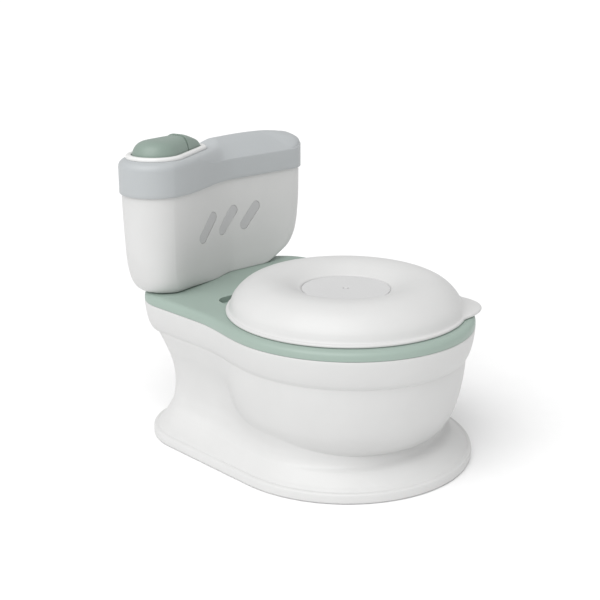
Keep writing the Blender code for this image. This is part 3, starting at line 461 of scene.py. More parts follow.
# height, front half-width, front depth, side half-width, rear line, corner radius
PEDESTAL = path(
    [
        (0.8, 138.7, 139.1, 138.7, 209.2, 74.4),
        (1.5, 139.3, 139.7, 139.3, 209.8, 74.9),
        (3.0, 139.5, 139.9, 139.5, 210.0, 75.0),
        (8.2, 139.4, 139.8, 139.4, 209.9, 75.0),
        (9.6, 139.0, 139.4, 139.0, 209.5, 74.7),
        (10.5, 138.2, 138.6, 138.2, 208.7, 74.0),
        (10.95, 137.0, 137.3, 137.0, 207.6, 73.0),
        (11.05, 134.8, 135.2, 134.8, 205.7, 71.0),
    ],
    [
        (11.05, 134.8, 135.2, 134.8, 205.7, 71.0),
        (12.2, 133.6, 133.9, 133.4, 204.8, 69.7),
        (13.4, 131.6, 131.8, 131.0, 204.4, 68.0),
        (16.6, 127.6, 127.6, 124.6, 203.5, 64.0),
        (21.2, 122.4, 121.0, 117.8, 202.4, 59.0),
        (24.2, 119.7, 114.8, 114.2, 201.6, 56.0),
        (26.6, 117.8, 105.4, 111.4, 201.0, 54.0),
        (32.0, 115.5, 102.8, 107.0, 200.4, 52.0),
        (39.0, 114.4, 102.5, 104.3, 200.1, 51.0),
        (47.0, 115.1, 102.5, 102.4, 200.0, 50.0),
        (61.0, 118.0, 104.0, 102.0, 200.2, 50.0),
        (76.0, 119.7, 106.5, 103.6, 201.4, 50.0),
        (88.0, 122.4, 109.5, 106.5, 203.2, 50.0),
        (97.0, 125.0, 111.5, 109.5, 205.4, 50.0),
        (106.0, 126.2, 113.5, 112.1, 208.4, 50.0),
        (115.0, 127.0, 115.0, 114.6, 212.0, 50.0),
        (122.0, 127.4, 115.4, 115.2, 212.6, 50.0),
        (150.0, 127.4, 115.4, 115.2, 212.6, 50.0),
    ],
)
# height, half-width, half-depth
BOWL = curve(
    [
        (34.0, 97.5, 100.5),
        (35.5, 102.2, 105.2),
        (37.6, 106.2, 109.2),
        (41.4, 109.7, 112.7),
        (47.2, 113.5, 116.5),
        (61.0, 119.9, 122.9),
        (79.0, 124.3, 127.3),
        (98.0, 127.2, 130.2),
        (122.0, 128.6, 131.6),
        (150.0, 128.6, 131.6),
    ]
)
# height, inset from the seat outline
COLLAR = curve(
    [
        (113.2, 24.0),
        (113.6, 17.0),
        (114.3, 12.6),
        (115.6, 9.6),
        (117.6, 7.2),
        (120.4, 5.2),
        (125.5, 3.3),
        (134.0, 1.4),
        (147.2, 0.05),
        (COLLAR_TOP, 0.5),
    ]
)
SEAT_PLAN = resample(body_plan(135.4, 140.1, 122.0, 228.0, 54.0), 440)
# Rows of the base's mesh: low height, high height and how many, closer where the surface turns
BASE_SPANS = (
    (0.8, 3.0, 6),
    (3.0, 8.6, 5),
    (8.6, 12.0, 16),
    (12.0, 33.0, 24),
    (33.0, 44.0, 30),
    (44.0, 112.0, 46),
    (112.0, 122.0, 34),
    (122.0, 146.5, 14),
    (146.5, COLLAR_TOP, 6),
)
# The inside follows the outside a little lower, up to the height where the wall is upright.
INSIDE_DROP, UPRIGHT_Z = 1.2, 140.0
INSIDE_BOTTOM = 0.9


def polar(outline, turns):
    """Distance to an outline in each direction from the pole; 0 is towards the front."""
    outline = resample(outline, 1400)
    turn = np.arctan2(outline[:, 0], POLE_Y - outline[:, 1])
    radius = np.hypot(outline[:, 0], outline[:, 1] - POLE_Y)
    order = np.argsort(turn)
    return np.interp(turns, turn[order], radius[order], period=2 * math.pi)


def soft_max(a, b, width):
    """The larger of two radii, with a fillet where they cross."""
    share = np.clip(0.5 + 0.5 * (a - b) / width, 0.0, 1.0)
    return b + (a - b) * share + width * share * (1.0 - share)


base_turns = np.arctan2(SEAT_PLAN[:, 0], POLE_Y - SEAT_PLAN[:, 1])
base_heights = np.unique(np.concatenate([np.linspace(*span) for span in BASE_SPANS]).round(3))


def base_radius(z):
    radius = polar(body_plan(*read(PEDESTAL, z)), base_turns)
    if z >= BOWL[0, 0]:
        radius_x, radius_y = read(BOWL, z)
        bowl = polar(oval(radius_x, radius_y, BOWL_Y, 480), base_turns)
        radius = soft_max(radius, bowl, BOWL_FILLET)
    if z >= COLLAR[0, 0]:
        collar = polar(inset(SEAT_PLAN, read(COLLAR, z)[0]), base_turns)
        radius = soft_max(radius, collar, COLLAR_FILLET)
    return radius


def base_ring(radius, z):
    x, y = radius * np.sin(base_turns), POLE_Y - radius * np.cos(base_turns)
    return np.column_stack([x, y, np.full(len(radius), z)])


base_rows = [(base_radius(z), z) for z in base_heights]
base_rings = [base_ring(radius, z) for radius, z in base_rows]
for radius, z in base_rows[::-3]:
    below = 0.0 if z > UPRIGHT_Z else INSIDE_DROP
    base_rings.append(base_ring(radius - WALL, max(z - below, INSIDE_BOTTOM)))
base = grid("base_shell_fine", base_rings, closed=True)

# Screw lugs under the collar: washers of (radius, z), clipped so that they end inside the wall
LUG_PROFILE = (
    (2.1, 130.0),
    (15.4, 130.0),
    (16.0, 130.6),
    (16.0, 133.4),
    (15.4, 134.0),
    (2.1, 134.0),
    (2.1, 130.0),
)
LUG_MIDDLE, LUG_CLEAR = 132.0, 1.3
around = full_turn(48)
wall_turns = np.concatenate([base_turns - 2 * math.pi, base_turns, base_turns + 2 * math.pi])
wall_order = np.argsort(wall_turns)
wall_reach = np.tile(base_radius(LUG_MIDDLE), 3)[wall_order]
additions = []
for i, (x, y) in enumerate(SCREW_SPOTS.values()):
    rings = []
    for radius, z in LUG_PROFILE:
        ring = arc(x, y, radius, around) - (0.0, POLE_Y)
        turn = np.arctan2(ring[:, 0], -ring[:, 1])
        reach = np.interp(turn, wall_turns[wall_order], wall_reach) - LUG_CLEAR
        ring *= np.minimum(1.0, reach / np.linalg.norm(ring, axis=1))[:, None]
        rings.append(lift(ring + (0.0, POLE_Y), z))
    additions.append(grid(f"lug_{i}", rings))
skirt = BVHTree.FromObject(base, bpy.context.evaluated_depsgraph_get())


def skirt_height(x, y):
    """Height of the base's outer surface above a point of the floor."""
    hit = skirt.ray_cast(Vector((x, y + AXIS_Y, 60.0)) * MM, Vector((0.0, 0.0, -1.0)))[0]
    return hit.z / MM


# Foot bosses: hollow posts that end just below the flare's outer surface
BOSS_R, BOSS_BORE, BOSS_CLEAR = 10.0, 3.2, 1.0
for i, (x, y) in enumerate(FOOT_SPOTS.values()):
    top = min(skirt_height(a, b) for a, b in arc(x, y, BOSS_R, around)) - BOSS_CLEAR
    outside = ((BOSS_R, top), (BOSS_R, 2.4), (9.6, 2.0))
    profile = ((BOSS_BORE, 2.0), (BOSS_BORE, top), *outside, (BOSS_BORE, 2.0))
    additions.append(lathe(f"boss_{i}", profile, x, y))
joined(base, *additions)
finished(base, "base", white_shell, "base_shell")

# ---------------------------------------------------------------- seat deck

DECK_EDGE = path(
    [(DECK_BOTTOM, 0.7), (148.8, 0.25), (149.2, 0.0)],
    [
        (149.2, 0.0),
        (153.0, 0.1),
        (155.2, 0.7),
        (156.8, 2.0),
        (157.9, 3.8),
        (158.5, 5.8),
        (DECK_TOP, 8.4),
    ],
    per=4,
)


def rounded_box(x, front_y, rear_y, radius):
    points = []
    for sign_x, sign_y, start in ((1, -1, -90.0), (1, 1, 0.0), (-1, 1, 90.0), (-1, -1, 180.0)):
        centre_y = front_y + radius if sign_y < 0 else rear_y - radius
        for turn in np.radians(np.linspace(start, start + 90.0, 16)):
            out = sign_x * (x - radius) + radius * math.cos(turn)
            points.append((out, centre_y + radius * math.sin(turn)))
    return np.array(points)


deck = grid(
    "seat_deck_fine",
    [lift(inset(SEAT_PLAN, drop), z) for z, drop in DECK_EDGE],
    cap_low=True,
    cap_high=True,
)


def pot_prism(name, gap, low, high):
    """A cutter with the pot's outline, wider by the gap."""
    return prism(name, oval(POT_X_R + gap, POT_Y_R + gap, POT_Y), low, high)


# The hollow below the deck leaves thick walls round the opening and the well.
ceiling = prism("ceiling", inset(SEAT_PLAN, 3.4), 140.0, 155.6)
well_walls = rounded_box(WELL_X + 5.0, WELL_FRONT - 10.0, WELL_REAR + 5.0, 24.0)
combine(
    ceiling,
    ("DIFFERENCE", pot_prism("ring_boss", RING_WALL_GAP, 149.5, 157.0)),
    ("DIFFERENCE", prism("well_boss", well_walls, 149.4, 157.2)),
)
well = rounded_box(WELL_X, WELL_FRONT, WELL_REAR, 15.0)
combine(
    deck,
    ("DIFFERENCE", ceiling),
    ("DIFFERENCE", pot_prism("opening", OPENING_GAP, 140.0, 170.0)),
    ("DIFFERENCE", pot_prism("rebate", REBATE_GAP, RIM_Z - 0.3, 168.0)),
    ("DIFFERENCE", prism("well", well, WELL_FLOOR, 166.0)),
)
round_edges(deck, 0.5, 3, 35.0)
POST_PROFILE = ((5.0, 156.0), (5.0, 134.8), (4.5, 134.3), (1.8, 134.3), (1.8, 156.0))
posts = [lathe(f"post_{i}", POST_PROFILE, x, y) for i, (x, y) in enumerate(SCREW_SPOTS.values())]
joined(deck, *posts)
DECK_SHARP = 30.0
shade(deck, DECK_SHARP)
weighted = deck.modifiers.new("weighted", "WEIGHTED_NORMAL")
weighted.keep_sharp = True
weighted.weight = 100
bake(deck)
finished(deck, "base", seat_green, "seat_deck", DECK_SHARP)

# ---------------------------------------------------------------- pot

POT_TURNS = full_turn(200)
pot_hump = smooth(1.0 - np.abs(np.arctan2(np.sin(POT_TURNS), np.cos(POT_TURNS))) / GUARD_HALF_TURN)


def pot_ring(grow, z, guard=0.0, grip=0.0):
    """A ring of the pot; guard raises its front and grip draws its rear out into the tongue."""
    x = (POT_X_R + grow) * np.sin(POT_TURNS)
    y = POT_Y - (POT_Y_R + grow) * np.cos(POT_TURNS)
    tongue = smooth((GRIP_X + 4.0 - np.abs(x)) / 8.0) * (y > 0)
    y = y + grip * tongue * np.maximum(GRIP_REAR + grow - RIM_REACH - y, 0.0)
    return np.column_stack([x, y, z + guard * pot_hump])


# growth past the pot's outline, height, guard and grip: the outside upwards, then the inside
POT_PROFILE = path(
    [(-34.0, POT_BOTTOM, 0, 0), (-28.0, POT_BOTTOM, 0, 0)],
    [
        (-28.0, POT_BOTTOM, 0, 0),
        (-19.0, POT_BOTTOM + 2.2, 0, 0),
        (-12.0, POT_BOTTOM + 9.0, 0, 0),
        (-8.0, POT_BOTTOM + 24.0, 0, 0),
        (-2.4, RIM_Z - 12.0, 0, 0),
        (-0.4, RIM_Z - 1.4, 0, 0),
    ],
    [(-0.4, RIM_Z - 1.4, 0, 0), (0.6, RIM_Z - 0.2, 0, 0), (2.4, RIM_Z, 0, 0)],
    [(2.4, RIM_Z, 0, 0), (6.0, RIM_Z, 0, 0.3), (9.4, RIM_Z, 0, 1)],
    [
        (9.4, RIM_Z, 0, 1),
        (10.1, RIM_Z + 0.5, 0, 1),
        (RIM_REACH, RIM_Z + 1.3, 0, 1),
        (9.8, RIM_Z + 2.0, 0, 1),
        (8.8, RIM_Z + 2.4, 0, 1),
    ],
    [(8.8, RIM_Z + 2.4, 0, 1), (5.0, RIM_Z + 2.5, 0, 0.3), (2.6, RIM_Z + 2.7, 0, 0)],
    [
        (2.6, RIM_Z + 2.7, 0.0, 0),
        (1.3, RIM_Z + 3.2, GUARD_RISE * 0.35, 0),
        (0.7, RIM_Z + 3.6, GUARD_RISE * 0.8, 0),
        (0.1, RIM_Z + 4.1, GUARD_RISE * 0.97, 0),
        (-0.5, RIM_Z + 4.2, GUARD_RISE, 0),
        (-1.1, RIM_Z + 4.0, GUARD_RISE * 0.97, 0),
        (-1.6, RIM_Z + 3.4, GUARD_RISE * 0.8, 0),
        (-2.0, RIM_Z + 2.4, GUARD_RISE * 0.35, 0),
        (-2.4, RIM_Z + 0.5, 0.0, 0),
        (-4.9, RIM_Z - 12.0, 0, 0),
        (-10.4, POT_BOTTOM + 24.0, 0, 0),
        (-14.2, POT_BOTTOM + 11.0, 0, 0),
        (-20.5, POT_BOTTOM + 4.6, 0, 0),
        (-29.0, POT_BOTTOM + 2.6, 0, 0),
        (-44.0, POT_BOTTOM + 2.5, 0, 0),
    ],
    per=5,
)
pot = grid("pot_fine", [pot_ring(*row) for row in POT_PROFILE], cap_low=True, cap_high=True)
finished(pot, "pot", white_pot, "pot")

# ---------------------------------------------------------------- lid

# radius and height: the underside from its middle to the brim, then the top back to its middle
LID_PROFILE = path(
    [(0.4, 178.4), (20.0, 178.5), (44.0, 178.7), (48.4, 179.9)],
    [
        (48.4, 179.9),
        (58.0, 184.6),
        (71.0, 189.4),
        (84.0, 191.0),
        (95.4, 189.4),
        (104.8, 185.0),
        (112.0, 178.8),
        (117.2, 171.4),
        (120.6, 161.6),
        (121.4, 159.6),
        (122.0, 159.2),
    ],
    [(122.0, 159.2), (126.0, 159.2), (LID_R, 159.7), (LID_R + 0.1, 160.9), (LID_R - 0.5, 162.0)],
    [(LID_R - 0.5, 162.0), (125.2, 162.4), (124.0, 162.9), (123.2, 164.2), (122.4, 167.0)],
    [
        (122.4, 167.0),
        (121.0, 171.2),
        (118.4, 175.8),
        (114.2, 180.8),
        (108.0, 186.2),
        (100.0, 190.5),
        (92.0, 192.9),
        (84.0, 193.5),
        (76.0, 192.9),
        (67.0, 190.9),
        (58.0, 187.4),
        (51.6, 184.4),
        (48.8, 183.2),
        (47.6, 182.2),
    ],
    [(47.6, 182.2), (47.2, 181.3), (46.0, 181.2)],
    [(46.0, 181.2), (20.0, 181.2), (2.6, 181.2)],
    [(2.6, 181.2), (2.3, 181.6), (2.2, 182.4), (1.6, 182.7), (0.4, 182.8)],
    per=5,
)
# The columns are drawn towards the tab, so that more of them are where it is.
LID_TURNS = full_turn(260)
LID_TURNS = LID_TURNS - 0.35 * np.sin(LID_TURNS - TAB_TURN)
from_tab = np.abs((LID_TURNS - TAB_TURN + math.pi) % (2 * math.pi) - math.pi)
tab_amount = (0.5 + 0.5 * np.cos(math.pi * np.clip(from_tab / TAB_HALF, 0, 1))) ** 0.62


def lid_ring(radius, z):
    reach = np.clip((TAB_ROOT_Z - z) / (TAB_ROOT_Z - TAB_FULL_Z), 0.0, 1.0) ** 2.2
    if radius < 122.0 and z < 170.0:
        # Under the brim the tab's hollow fades out towards the middle.
        reach *= np.clip((radius - 117.0) / 5.0, 0.0, 1.0)
    out = radius + TAB_REACH * reach * tab_amount
    raised = z + TAB_RISE * reach * tab_amount
    return np.column_stack([out * np.sin(LID_TURNS), LID_Y - out * np.cos(LID_TURNS), raised])


lid = grid("lid_fine", [lid_ring(r, z) for r, z in LID_PROFILE], cap_low=True, cap_high=True)
finished(lid, "seat_lid", white_lid, "lid")

INLAY_PROFILE = path(
    [(2.9, 181.35), (45.9, 181.35), (INLAY_R, 181.5)],
    [(INLAY_R, 181.5), (46.6, 181.9), (46.3, 182.2), (45.6, 182.3)],
    [(45.6, 182.3), (24.0, 182.25), (3.4, 182.3)],
    [(3.4, 182.3), (3.0, 182.2), (2.9, 181.9), (2.9, 181.35)],
    per=5,
)
disc_rings = [lift(oval(r, r, LID_Y, 160), z) for r, z in INLAY_PROFILE[:-1]]
disc = grid("lid_inlay_fine", disc_rings, closed=True)
finished(disc, "seat_lid", inlay_grey, "lid_inlay_disc")

# ---------------------------------------------------------------- tank shell

TANK_PLAN = tank_plan()
# height, inset of the left end, right end, lobe, straight front and rear
TUB = curve(
    [
        (TUB_BOTTOM, 23.0, 62.0, 13.5, 1.2, 12.5),
        (160.3, 19.0, 55.0, 10.5, 0.8, 10.0),
        (163.6, 15.0, 46.5, 8.0, 0.8, 8.6),
        (168.0, 12.0, 37.0, 6.4, 1.0, 6.6),
        (175.0, 9.0, 22.9, 5.2, 1.4, 5.4),
        (185.0, 6.6, 13.6, 4.6, 2.0, 4.6),
        (197.0, 5.0, 8.2, 4.0, 2.4, 4.0),
        (226.0, 3.6, 3.6, 3.0, 2.6, 3.0),
        (256.0, 2.6, 2.6, 2.5, 2.5, 2.5),
        (TUB_TOP, 2.6, 2.6, 2.5, 2.5, 2.5),
    ],
    per=8,
)
TANK_NORMALS = normals_of(TANK_PLAN)


def tub_ring(z, left, right, lobe, front, rear, wall=0.0):
    """The tank's outline, drawn in by its own amount at each end, at the lobe, front and rear."""
    x, back = TANK_PLAN[:, 0], smooth(0.5 + 0.5 * TANK_NORMALS[:, 1])
    face = lobe + (front - lobe) * smooth((x + 80.0) / 60.0)
    face += (rear - face) * back
    spread = 1.0 - (np.where(x < 0.0, left, right) - face) / TANK_END_X
    drawn = TANK_PLAN - TANK_NORMALS * (face + wall)[:, None]
    drawn[:, 0] *= spread
    return lift(drawn, z)


# The inside rises away from the outside near the bottom, which leaves a floor.
FLOOR_RUN = 26.0
tub_rings = [tub_ring(*row) for row in TUB]
for row in TUB[::-2]:
    rise = TANK_WALL * max(0.0, 1.0 - (row[0] - TUB_BOTTOM) / FLOOR_RUN)
    tub_rings.append(tub_ring(row[0] + rise, *row[1:], TANK_WALL))
tub = grid("tank_shell_fine", tub_rings, cap_low=True, cap_high=True)


def capsule_points(x, slant, half_length, widen, radius):
    """A slanted slot's outline in the plane of the tank's front."""
    turn = full_turn(72)
    side = radius * np.cos(turn)
    up = radius * np.sin(turn) + np.where(np.sin(turn) >= 0, half_length, -half_length)
    lean = math.radians(slant)
    across = x + widen * side * math.cos(lean) + up * math.sin(lean)
    return np.column_stack([across, WINDOW_Z - side * math.sin(lean) + up * math.cos(lean)])


skin = BVHTree.FromObject(tub, bpy.context.evaluated_depsgraph_get())


def tub_front(x, z):
    """Where the tank's front is at x, z, in the part's numbers."""
    start = Vector((x, AXIS_Y + 140.0, z)) * MM
    return skin.ray_cast(start, Vector((0.0, 1.0, 0.0)), 0.12)[0].y / MM - AXIS_Y


SLOT_REAR, SLOT_FRONT = 206.0, 150.0
# inset from the insert's outline, and depth behind the tank's front
WINDOW_EDGE = (
    (0.0, 2.2),
    (0.0, 0.6),
    (0.1, 0.38),
    (0.3, 0.27),
    (0.8, 0.22),
    (2.0, 0.2),
    (4.0, 0.2),
    (5.6, 0.2),
)
slots = []
for i, shape in enumerate(WINDOWS):
    outline = capsule_points(*shape, WINDOW_R + SLOT_GAP)
    rings = [
        np.column_stack([outline[:, 0], np.full(len(outline), y), outline[:, 1]])
        for y in (SLOT_REAR, SLOT_FRONT)
    ]
    slots.append(("DIFFERENCE", grid(f"slot_{i}", rings, cap_low=True, cap_high=True)))
    rings = []
    for inset_by, depth in WINDOW_EDGE:
        outline = capsule_points(*shape, WINDOW_R - inset_by)
        front = np.array([tub_front(x, z) for x, z in outline])
        rings.append(np.column_stack([outline[:, 0], front + depth, outline[:, 1]]))
    window = grid(f"tank_window_{i + 1}_fine", rings, cap_low=True, cap_high=True)
    finished(window, "base", window_grey, f"tank_window_{i + 1}")
combine(tub, *slots)
finished(tub, "base", white_tank, "tank_shell")

# ---------------------------------------------------------------- tank lid

# The line that the roof's rings close on, and the height of the roof's top along x
SPINE = curve(
    [(-92.0, 203.0), (-60.0, 210.0), (-25.6, 217.6), (0.0, 224.0), (40.0, 228.0), (106.0, 228.6)],
    per=12,
)
CROWN = curve(
    [(-30.0, 312.6), (0.0, 313.2), (40.0, 314.1), (70.0, 314.0), (92.0, 313.0), (112.0, 310.6)]
)
# The rear and the right end are rounded over, the straight front isn't.
REAR_START_Y = TANK_REAR_Y - 12.0
SHOULDER_REACH = 10.5


def spine_points():
    """The line the roof's rings close on, one point for each column of the outline."""
    along = np.linspace(0.0, 1.0, TANK_HALF + 1)
    dense = resample(SPINE, 400, closed=False)
    at = np.linspace(0.0, 1.0, len(dense))
    half = np.stack([np.interp(along, at, dense[:, i]) for i in range(2)], axis=1)
    return np.vstack([half[:-1], half[:0:-1]])


def rim_distance(points, head_r):
    """Distance outside the rim of the radius given; negative inside."""
    a, b = np.array(HEAD), np.array(TAIL)
    span = np.linalg.norm(b - a)
    taper = RIM_TAPER / span
    t = (points - a) @ (b - a) / span
    side = np.linalg.norm(points - a - np.outer(t / span, b - a), axis=1)
    shifted = np.clip((t - taper * side / math.sqrt(1 - taper * taper)) / span, 0.0, 1.0)
    nearest = a + shifted[:, None] * (b - a)
    return np.linalg.norm(points - nearest, axis=1) - (head_r - RIM_TAPER * shifted)


def crease_height(points):
    """The height of the band's upper edge: lowest along the straight front."""
    x = points[:, 0]
    front = smooth((x + 62.0) / 60.0) * (1.0 - smooth((x - 108.0) / 24.0))
    front *= points[:, 1] < REAR_START_Y
    return LOBE_CREASE + (FRONT_CREASE - LOBE_CREASE) * front


def roof_ring(outline, crease, share, down=0.0):
    """A ring of the roof: share 0 is the crease and 1 the line where the rings close."""
    spine = spine_points()
    points = outline + (spine - outline) * share
    reach = np.linalg.norm(points - outline, axis=1)
    whole = np.maximum(np.linalg.norm(spine - outline, axis=1), 1e-6)
    along = np.clip(reach / whole, 0.0, 1.0)
    shoulder = 1.0 - (1.0 - np.minimum(reach / SHOULDER_REACH, 1.0)) ** 2
    shoulder = np.sqrt(np.maximum(shoulder, 0.0))
    housing = crease + (HOUSING_Z - crease) * shoulder
    # The straight front slopes back from a crease; the right end and the rear are rounded over.
    over = np.maximum(smooth((outline[:, 0] - 98.0) / 26.0), outline[:, 1] > REAR_START_Y)
    slope = np.sin(math.pi / 2 * along) ** 0.95
    rounded = np.maximum(1.0 - (1.0 - along) ** 2.3, 0.0) ** 0.5
    crown = np.interp(points[:, 0], CROWN[:, 0], CROWN[:, 1])
    roof = crease + (crown - crease) * (slope + (rounded - slope) * over)
    # The raised housing falls to the roof over 19 mm, and only towards the right.
    away = smooth((rim_distance(points, HOUSING_HEAD_R) - 0.5) / 19.0)
    away *= smooth((points[:, 0] + 62.0) / 20.0)
    return lift(points, housing + (roof - housing) * away - down)


lid_crease = crease_height(TANK_PLAN)
# The front's crease is rounded, and the lobe's isn't: its shoulder rises straight from the band.
creased = smooth((TANK_PLAN[:, 0] + 50.0) / 50.0)[:, None]
cover_rings = []
for above, drop in ((0.25, 0.25), (0.8, 0.0), (4.0, 0.0), (9.0, 0.0), (15.0, 0.0), (19.0, 0.0)):
    cover_rings.append(lift(inset(TANK_PLAN, drop), BAND_BOTTOM + above))
for drop, below in ((0.0, 3.6), (0.0, 2.4), (0.05, 1.6), (0.25, 0.8), (0.6, 0.25)):
    cover_rings.append(lift(inset(TANK_PLAN, drop * creased), lid_crease - below))
roof_plan = inset(TANK_PLAN, 1.1 * creased)
for share in (*np.linspace(0.0, 0.34, 16) ** 1.3, *np.linspace(0.28, 1.0, 22)):
    cover_rings.append(roof_ring(roof_plan, lid_crease, share))
cover = grid("tank_lid_fine", cover_rings, cap_low=True, merge=0.02)
inner_plan = inset(TANK_PLAN, 2.3)
inner_rings = [lift(inner_plan, BAND_BOTTOM - 3.0), lift(inner_plan, 280.0)]
for share in np.linspace(0.0, 1.0, 14):
    inner_rings.append(roof_ring(inner_plan, lid_crease, share, TANK_WALL))
combine(
    cover,
    ("DIFFERENCE", grid("cover_hollow", inner_rings, cap_low=True, merge=0.02)),
    ("DIFFERENCE", prism("module_opening", rim(29.9), 280.0, 330.0)),
)
finished(cover, "tank_cover", cover_grey, "tank_lid", 42.0)

# ---------------------------------------------------------------- bezel and buttons

# radius at the head, and height: up the inside, over the top and down the outside
BEZEL_PROFILE = path(
    [(26.8, 302.2), (26.8, 306.0), (26.8, 308.6)],
    [(26.8, 308.6), (26.95, 309.6), (27.5, 310.2), (28.4, 310.4)],
    [(28.4, 310.4), (30.0, 310.4), (31.6, 309.9), (32.6, 308.9), (33.0, 307.6), (33.0, 306.5)],
    [(33.0, 306.5), (31.5, 306.4), (29.3, 306.4)],
    [(29.3, 306.4), (29.2, 305.0), (29.2, 302.2)],
    per=5,
)
bezel = grid("button_bezel_fine", [lift(rim(r), z) for r, z in BEZEL_PROFILE[::-1]], closed=True)
finished(bezel, "tank_cover", white_gloss, "button_bezel")

# The dome's rings, closest together at its edge
PILL_INSETS = 25.7 * np.linspace(0.0, 1.0, 30) ** 1.7
AXIS = (np.array(TAIL) - HEAD) / math.dist(HEAD, TAIL)


def pill_plan(inset_by):
    return hull(HEAD, PILL_HEAD_R - inset_by, TAIL, max(PILL_TAIL_R - inset_by, 0.35), 240)


def pill(name, drop):
    """The flange, walls and domed top that the buttons share; the dome falls away to the tail."""
    flange = hull(FLANGE_HEAD, FLANGE_HEAD_R, FLANGE_TAIL, FLANGE_TAIL_R, 240)
    rings = [lift(flange, FLANGE_LOW), lift(flange, FLANGE_HIGH), lift(pill_plan(0.0), 301.9)]
    for inset_by in PILL_INSETS:
        plan = pill_plan(inset_by)
        along = (plan - HEAD) @ AXIS
        half_width = PILL_HEAD_R - RIM_TAPER * np.clip(along / math.dist(HEAD, TAIL), 0.0, 1.0)
        top = DOME_TOP - FALL * smooth((along - FALL_START) / FALL_LENGTH)
        rise = np.sqrt(1.0 - (1.0 - np.minimum(inset_by / half_width, 1.0)) ** DOME_POWER)
        height = (top - DOME_BASE) * rise
        rings.append(lift(plan, DOME_BASE + height - drop * np.minimum(height / 8.0, 1.0)))
    return grid(name, rings, cap_low=True, cap_high=True)


def split_region(shift):
    """Everything left of the shallow arc that parts the buttons, moved to the right by shift."""
    heading = math.atan2(TAIL[1] - HEAD[1], TAIL[0] - HEAD[0])
    across = np.linspace(-32.0, 32.0, 65)
    along = shift + SPLIT_BOW * (1.0 - (across / SPLIT_HALF) ** 2)
    x = SPLIT[0] + along * math.cos(heading) - across * math.sin(heading)
    y = SPLIT[1] + along * math.sin(heading) + across * math.cos(heading)
    return np.vstack([np.column_stack([x, y]), [(-150.0, 260.0), (-150.0, 150.0)]])


def button(size, drop, keep, shift, rounding, segments, stem):
    """One button: its side of the pill, rounded, with the spring's pocket and the switch's pin."""
    made = pill(f"flush_button_{size}_fine", drop)
    combine(made, (keep, prism(f"{size}_side", split_region(shift), 290.0, 340.0)))
    round_edges(made, rounding, segments, 50.0)
    pocket = lathe(f"{size}_pocket", ((6.3, 306.0), (6.3, 296.0)), *stem, 36)
    pin = lathe(f"{size}_pin", ((2.4, 308.0), (2.4, 299.0), (2.0, 298.6)), *stem, 24)
    combine(made, ("DIFFERENCE", pocket), ("UNION", pin))
    finished(made, f"{size}_button", button_green, f"flush_button_{size}")


button("large", LARGE_DROP, "INTERSECT", 0.0, 1.7, 4, LARGE_STEM)
button("small", 0.0, "DIFFERENCE", SPLIT_GAP, 3.4, 3, SMALL_STEM)

# ---------------------------------------------------------------- feet

# radius and height: the stem in its boss, the pad, and the ring that stands on the floor
FOOT_PROFILE = (
    (2.4, 7.8),
    (2.8, 7.4),
    (2.8, 1.7),
    (8.2, 1.7),
    (8.6, 1.4),
    (8.6, 0.5),
    (8.1, 0.0),
    (7.0, 0.0),
    (6.8, 0.3),
    (5.2, 0.3),
    (5.0, 0.0),
)
for name, (x, y) in FOOT_SPOTS.items():
    foot = lathe(f"{name}_fine", FOOT_PROFILE, x, y, 64)
    finished(foot, "base", foot_rubber, name)

# ---------------------------------------------------------------- nodes that keep their CAD mesh

LOOKS = {
    "sound_module_case": white_case,
    "battery_door": white_case,
    "circuit_board": board_green,
    "speaker": black_resin,
    "tact_switch_large": black_resin,
    "tact_switch_small": black_resin,
    "battery_cell_1": cell_sleeve,
    "battery_cell_2": cell_sleeve,
    "battery_contact_left": spring_steel,
    "battery_contact_right": spring_steel,
    "button_spring_large": spring_steel,
    "button_spring_small": spring_steel,
}
for name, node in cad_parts.items():
    if name in LOOKS:
        paint(node, LOOKS[name])
    elif "screw" in name:
        paint(node, zinc)

# ---------------------------------------------------------------- camera

LENS, SENSOR = 70.0, 36.0
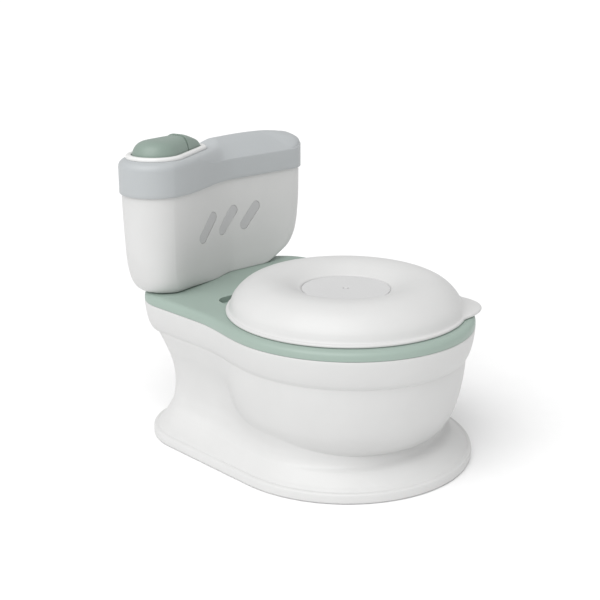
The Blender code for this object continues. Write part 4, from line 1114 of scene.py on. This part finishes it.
# In metres; y is from the bowl's axis.
CAMERA_X, CAMERA_Y, CAMERA_Z = -0.8452, -0.8189, 0.5311
CAMERA_TOWARDS = (0.6581, 0.6931, -0.2942)
CAMERA_UP = (0.2026, 0.2133, 0.9558)

camera_data = bpy.data.cameras.new("camera")
camera_data.lens = LENS
camera_data.sensor_width = SENSOR
camera_data.clip_end = 400.0
camera = linked(camera_data, "camera")
view = Vector(CAMERA_TOWARDS).normalized()
across = view.cross(Vector(CAMERA_UP)).normalized()
upward = across.cross(view)
camera.matrix_world = Matrix(
    (
        (across.x, upward.x, -view.x, CAMERA_X),
        (across.y, upward.y, -view.y, CAMERA_Y + AXIS_Y * MM),
        (across.z, upward.z, -view.z, CAMERA_Z),
        (0.0, 0.0, 0.0, 1.0),
    )
)
bpy.context.scene.camera = camera

# ---------------------------------------------------------------- floor and light

FLOOR_HALF = 150.0
WORLD_STRENGTH = 0.60
# One soft sun, from the left, the front and above
SUN_TOWARDS, SUN_POWER, SUN_SPREAD = (1.0, 0.28, -1.35), 2.2, 62.0

floor_signs = ((-1, -1), (1, -1), (1, 1), (-1, 1))
floor_corners = [(x * FLOOR_HALF, y * FLOOR_HALF, 0.0) for x, y in floor_signs]
floor_mesh = bpy.data.meshes.new("floor")
floor_mesh.from_pydata(floor_corners, [], [(0, 1, 2, 3)])
floor = linked(floor_mesh, "floor")
floor_look = plastic("floor_look", (0.93, 0.93, 0.93), 0.9, grain=0.0, mottle=0.004)
floor_look.node_tree.nodes["Principled BSDF"].inputs["Specular IOR Level"].default_value = 0.0
paint(floor, floor_look)

world = bpy.data.worlds.new("world")
bpy.context.scene.world = world
world.use_nodes = True
backdrop = world.node_tree.nodes["Background"]
backdrop.inputs["Color"].default_value = (1.0, 1.0, 1.0, 1.0)
backdrop.inputs["Strength"].default_value = WORLD_STRENGTH

light = bpy.data.lights.new("key", "SUN")
light.energy = SUN_POWER
light.angle = math.radians(SUN_SPREAD)
key = linked(light, "key")
key.rotation_euler = Vector(SUN_TOWARDS).to_track_quat("-Z", "Y").to_euler()

bpy.context.scene.view_settings.view_transform = "Standard"
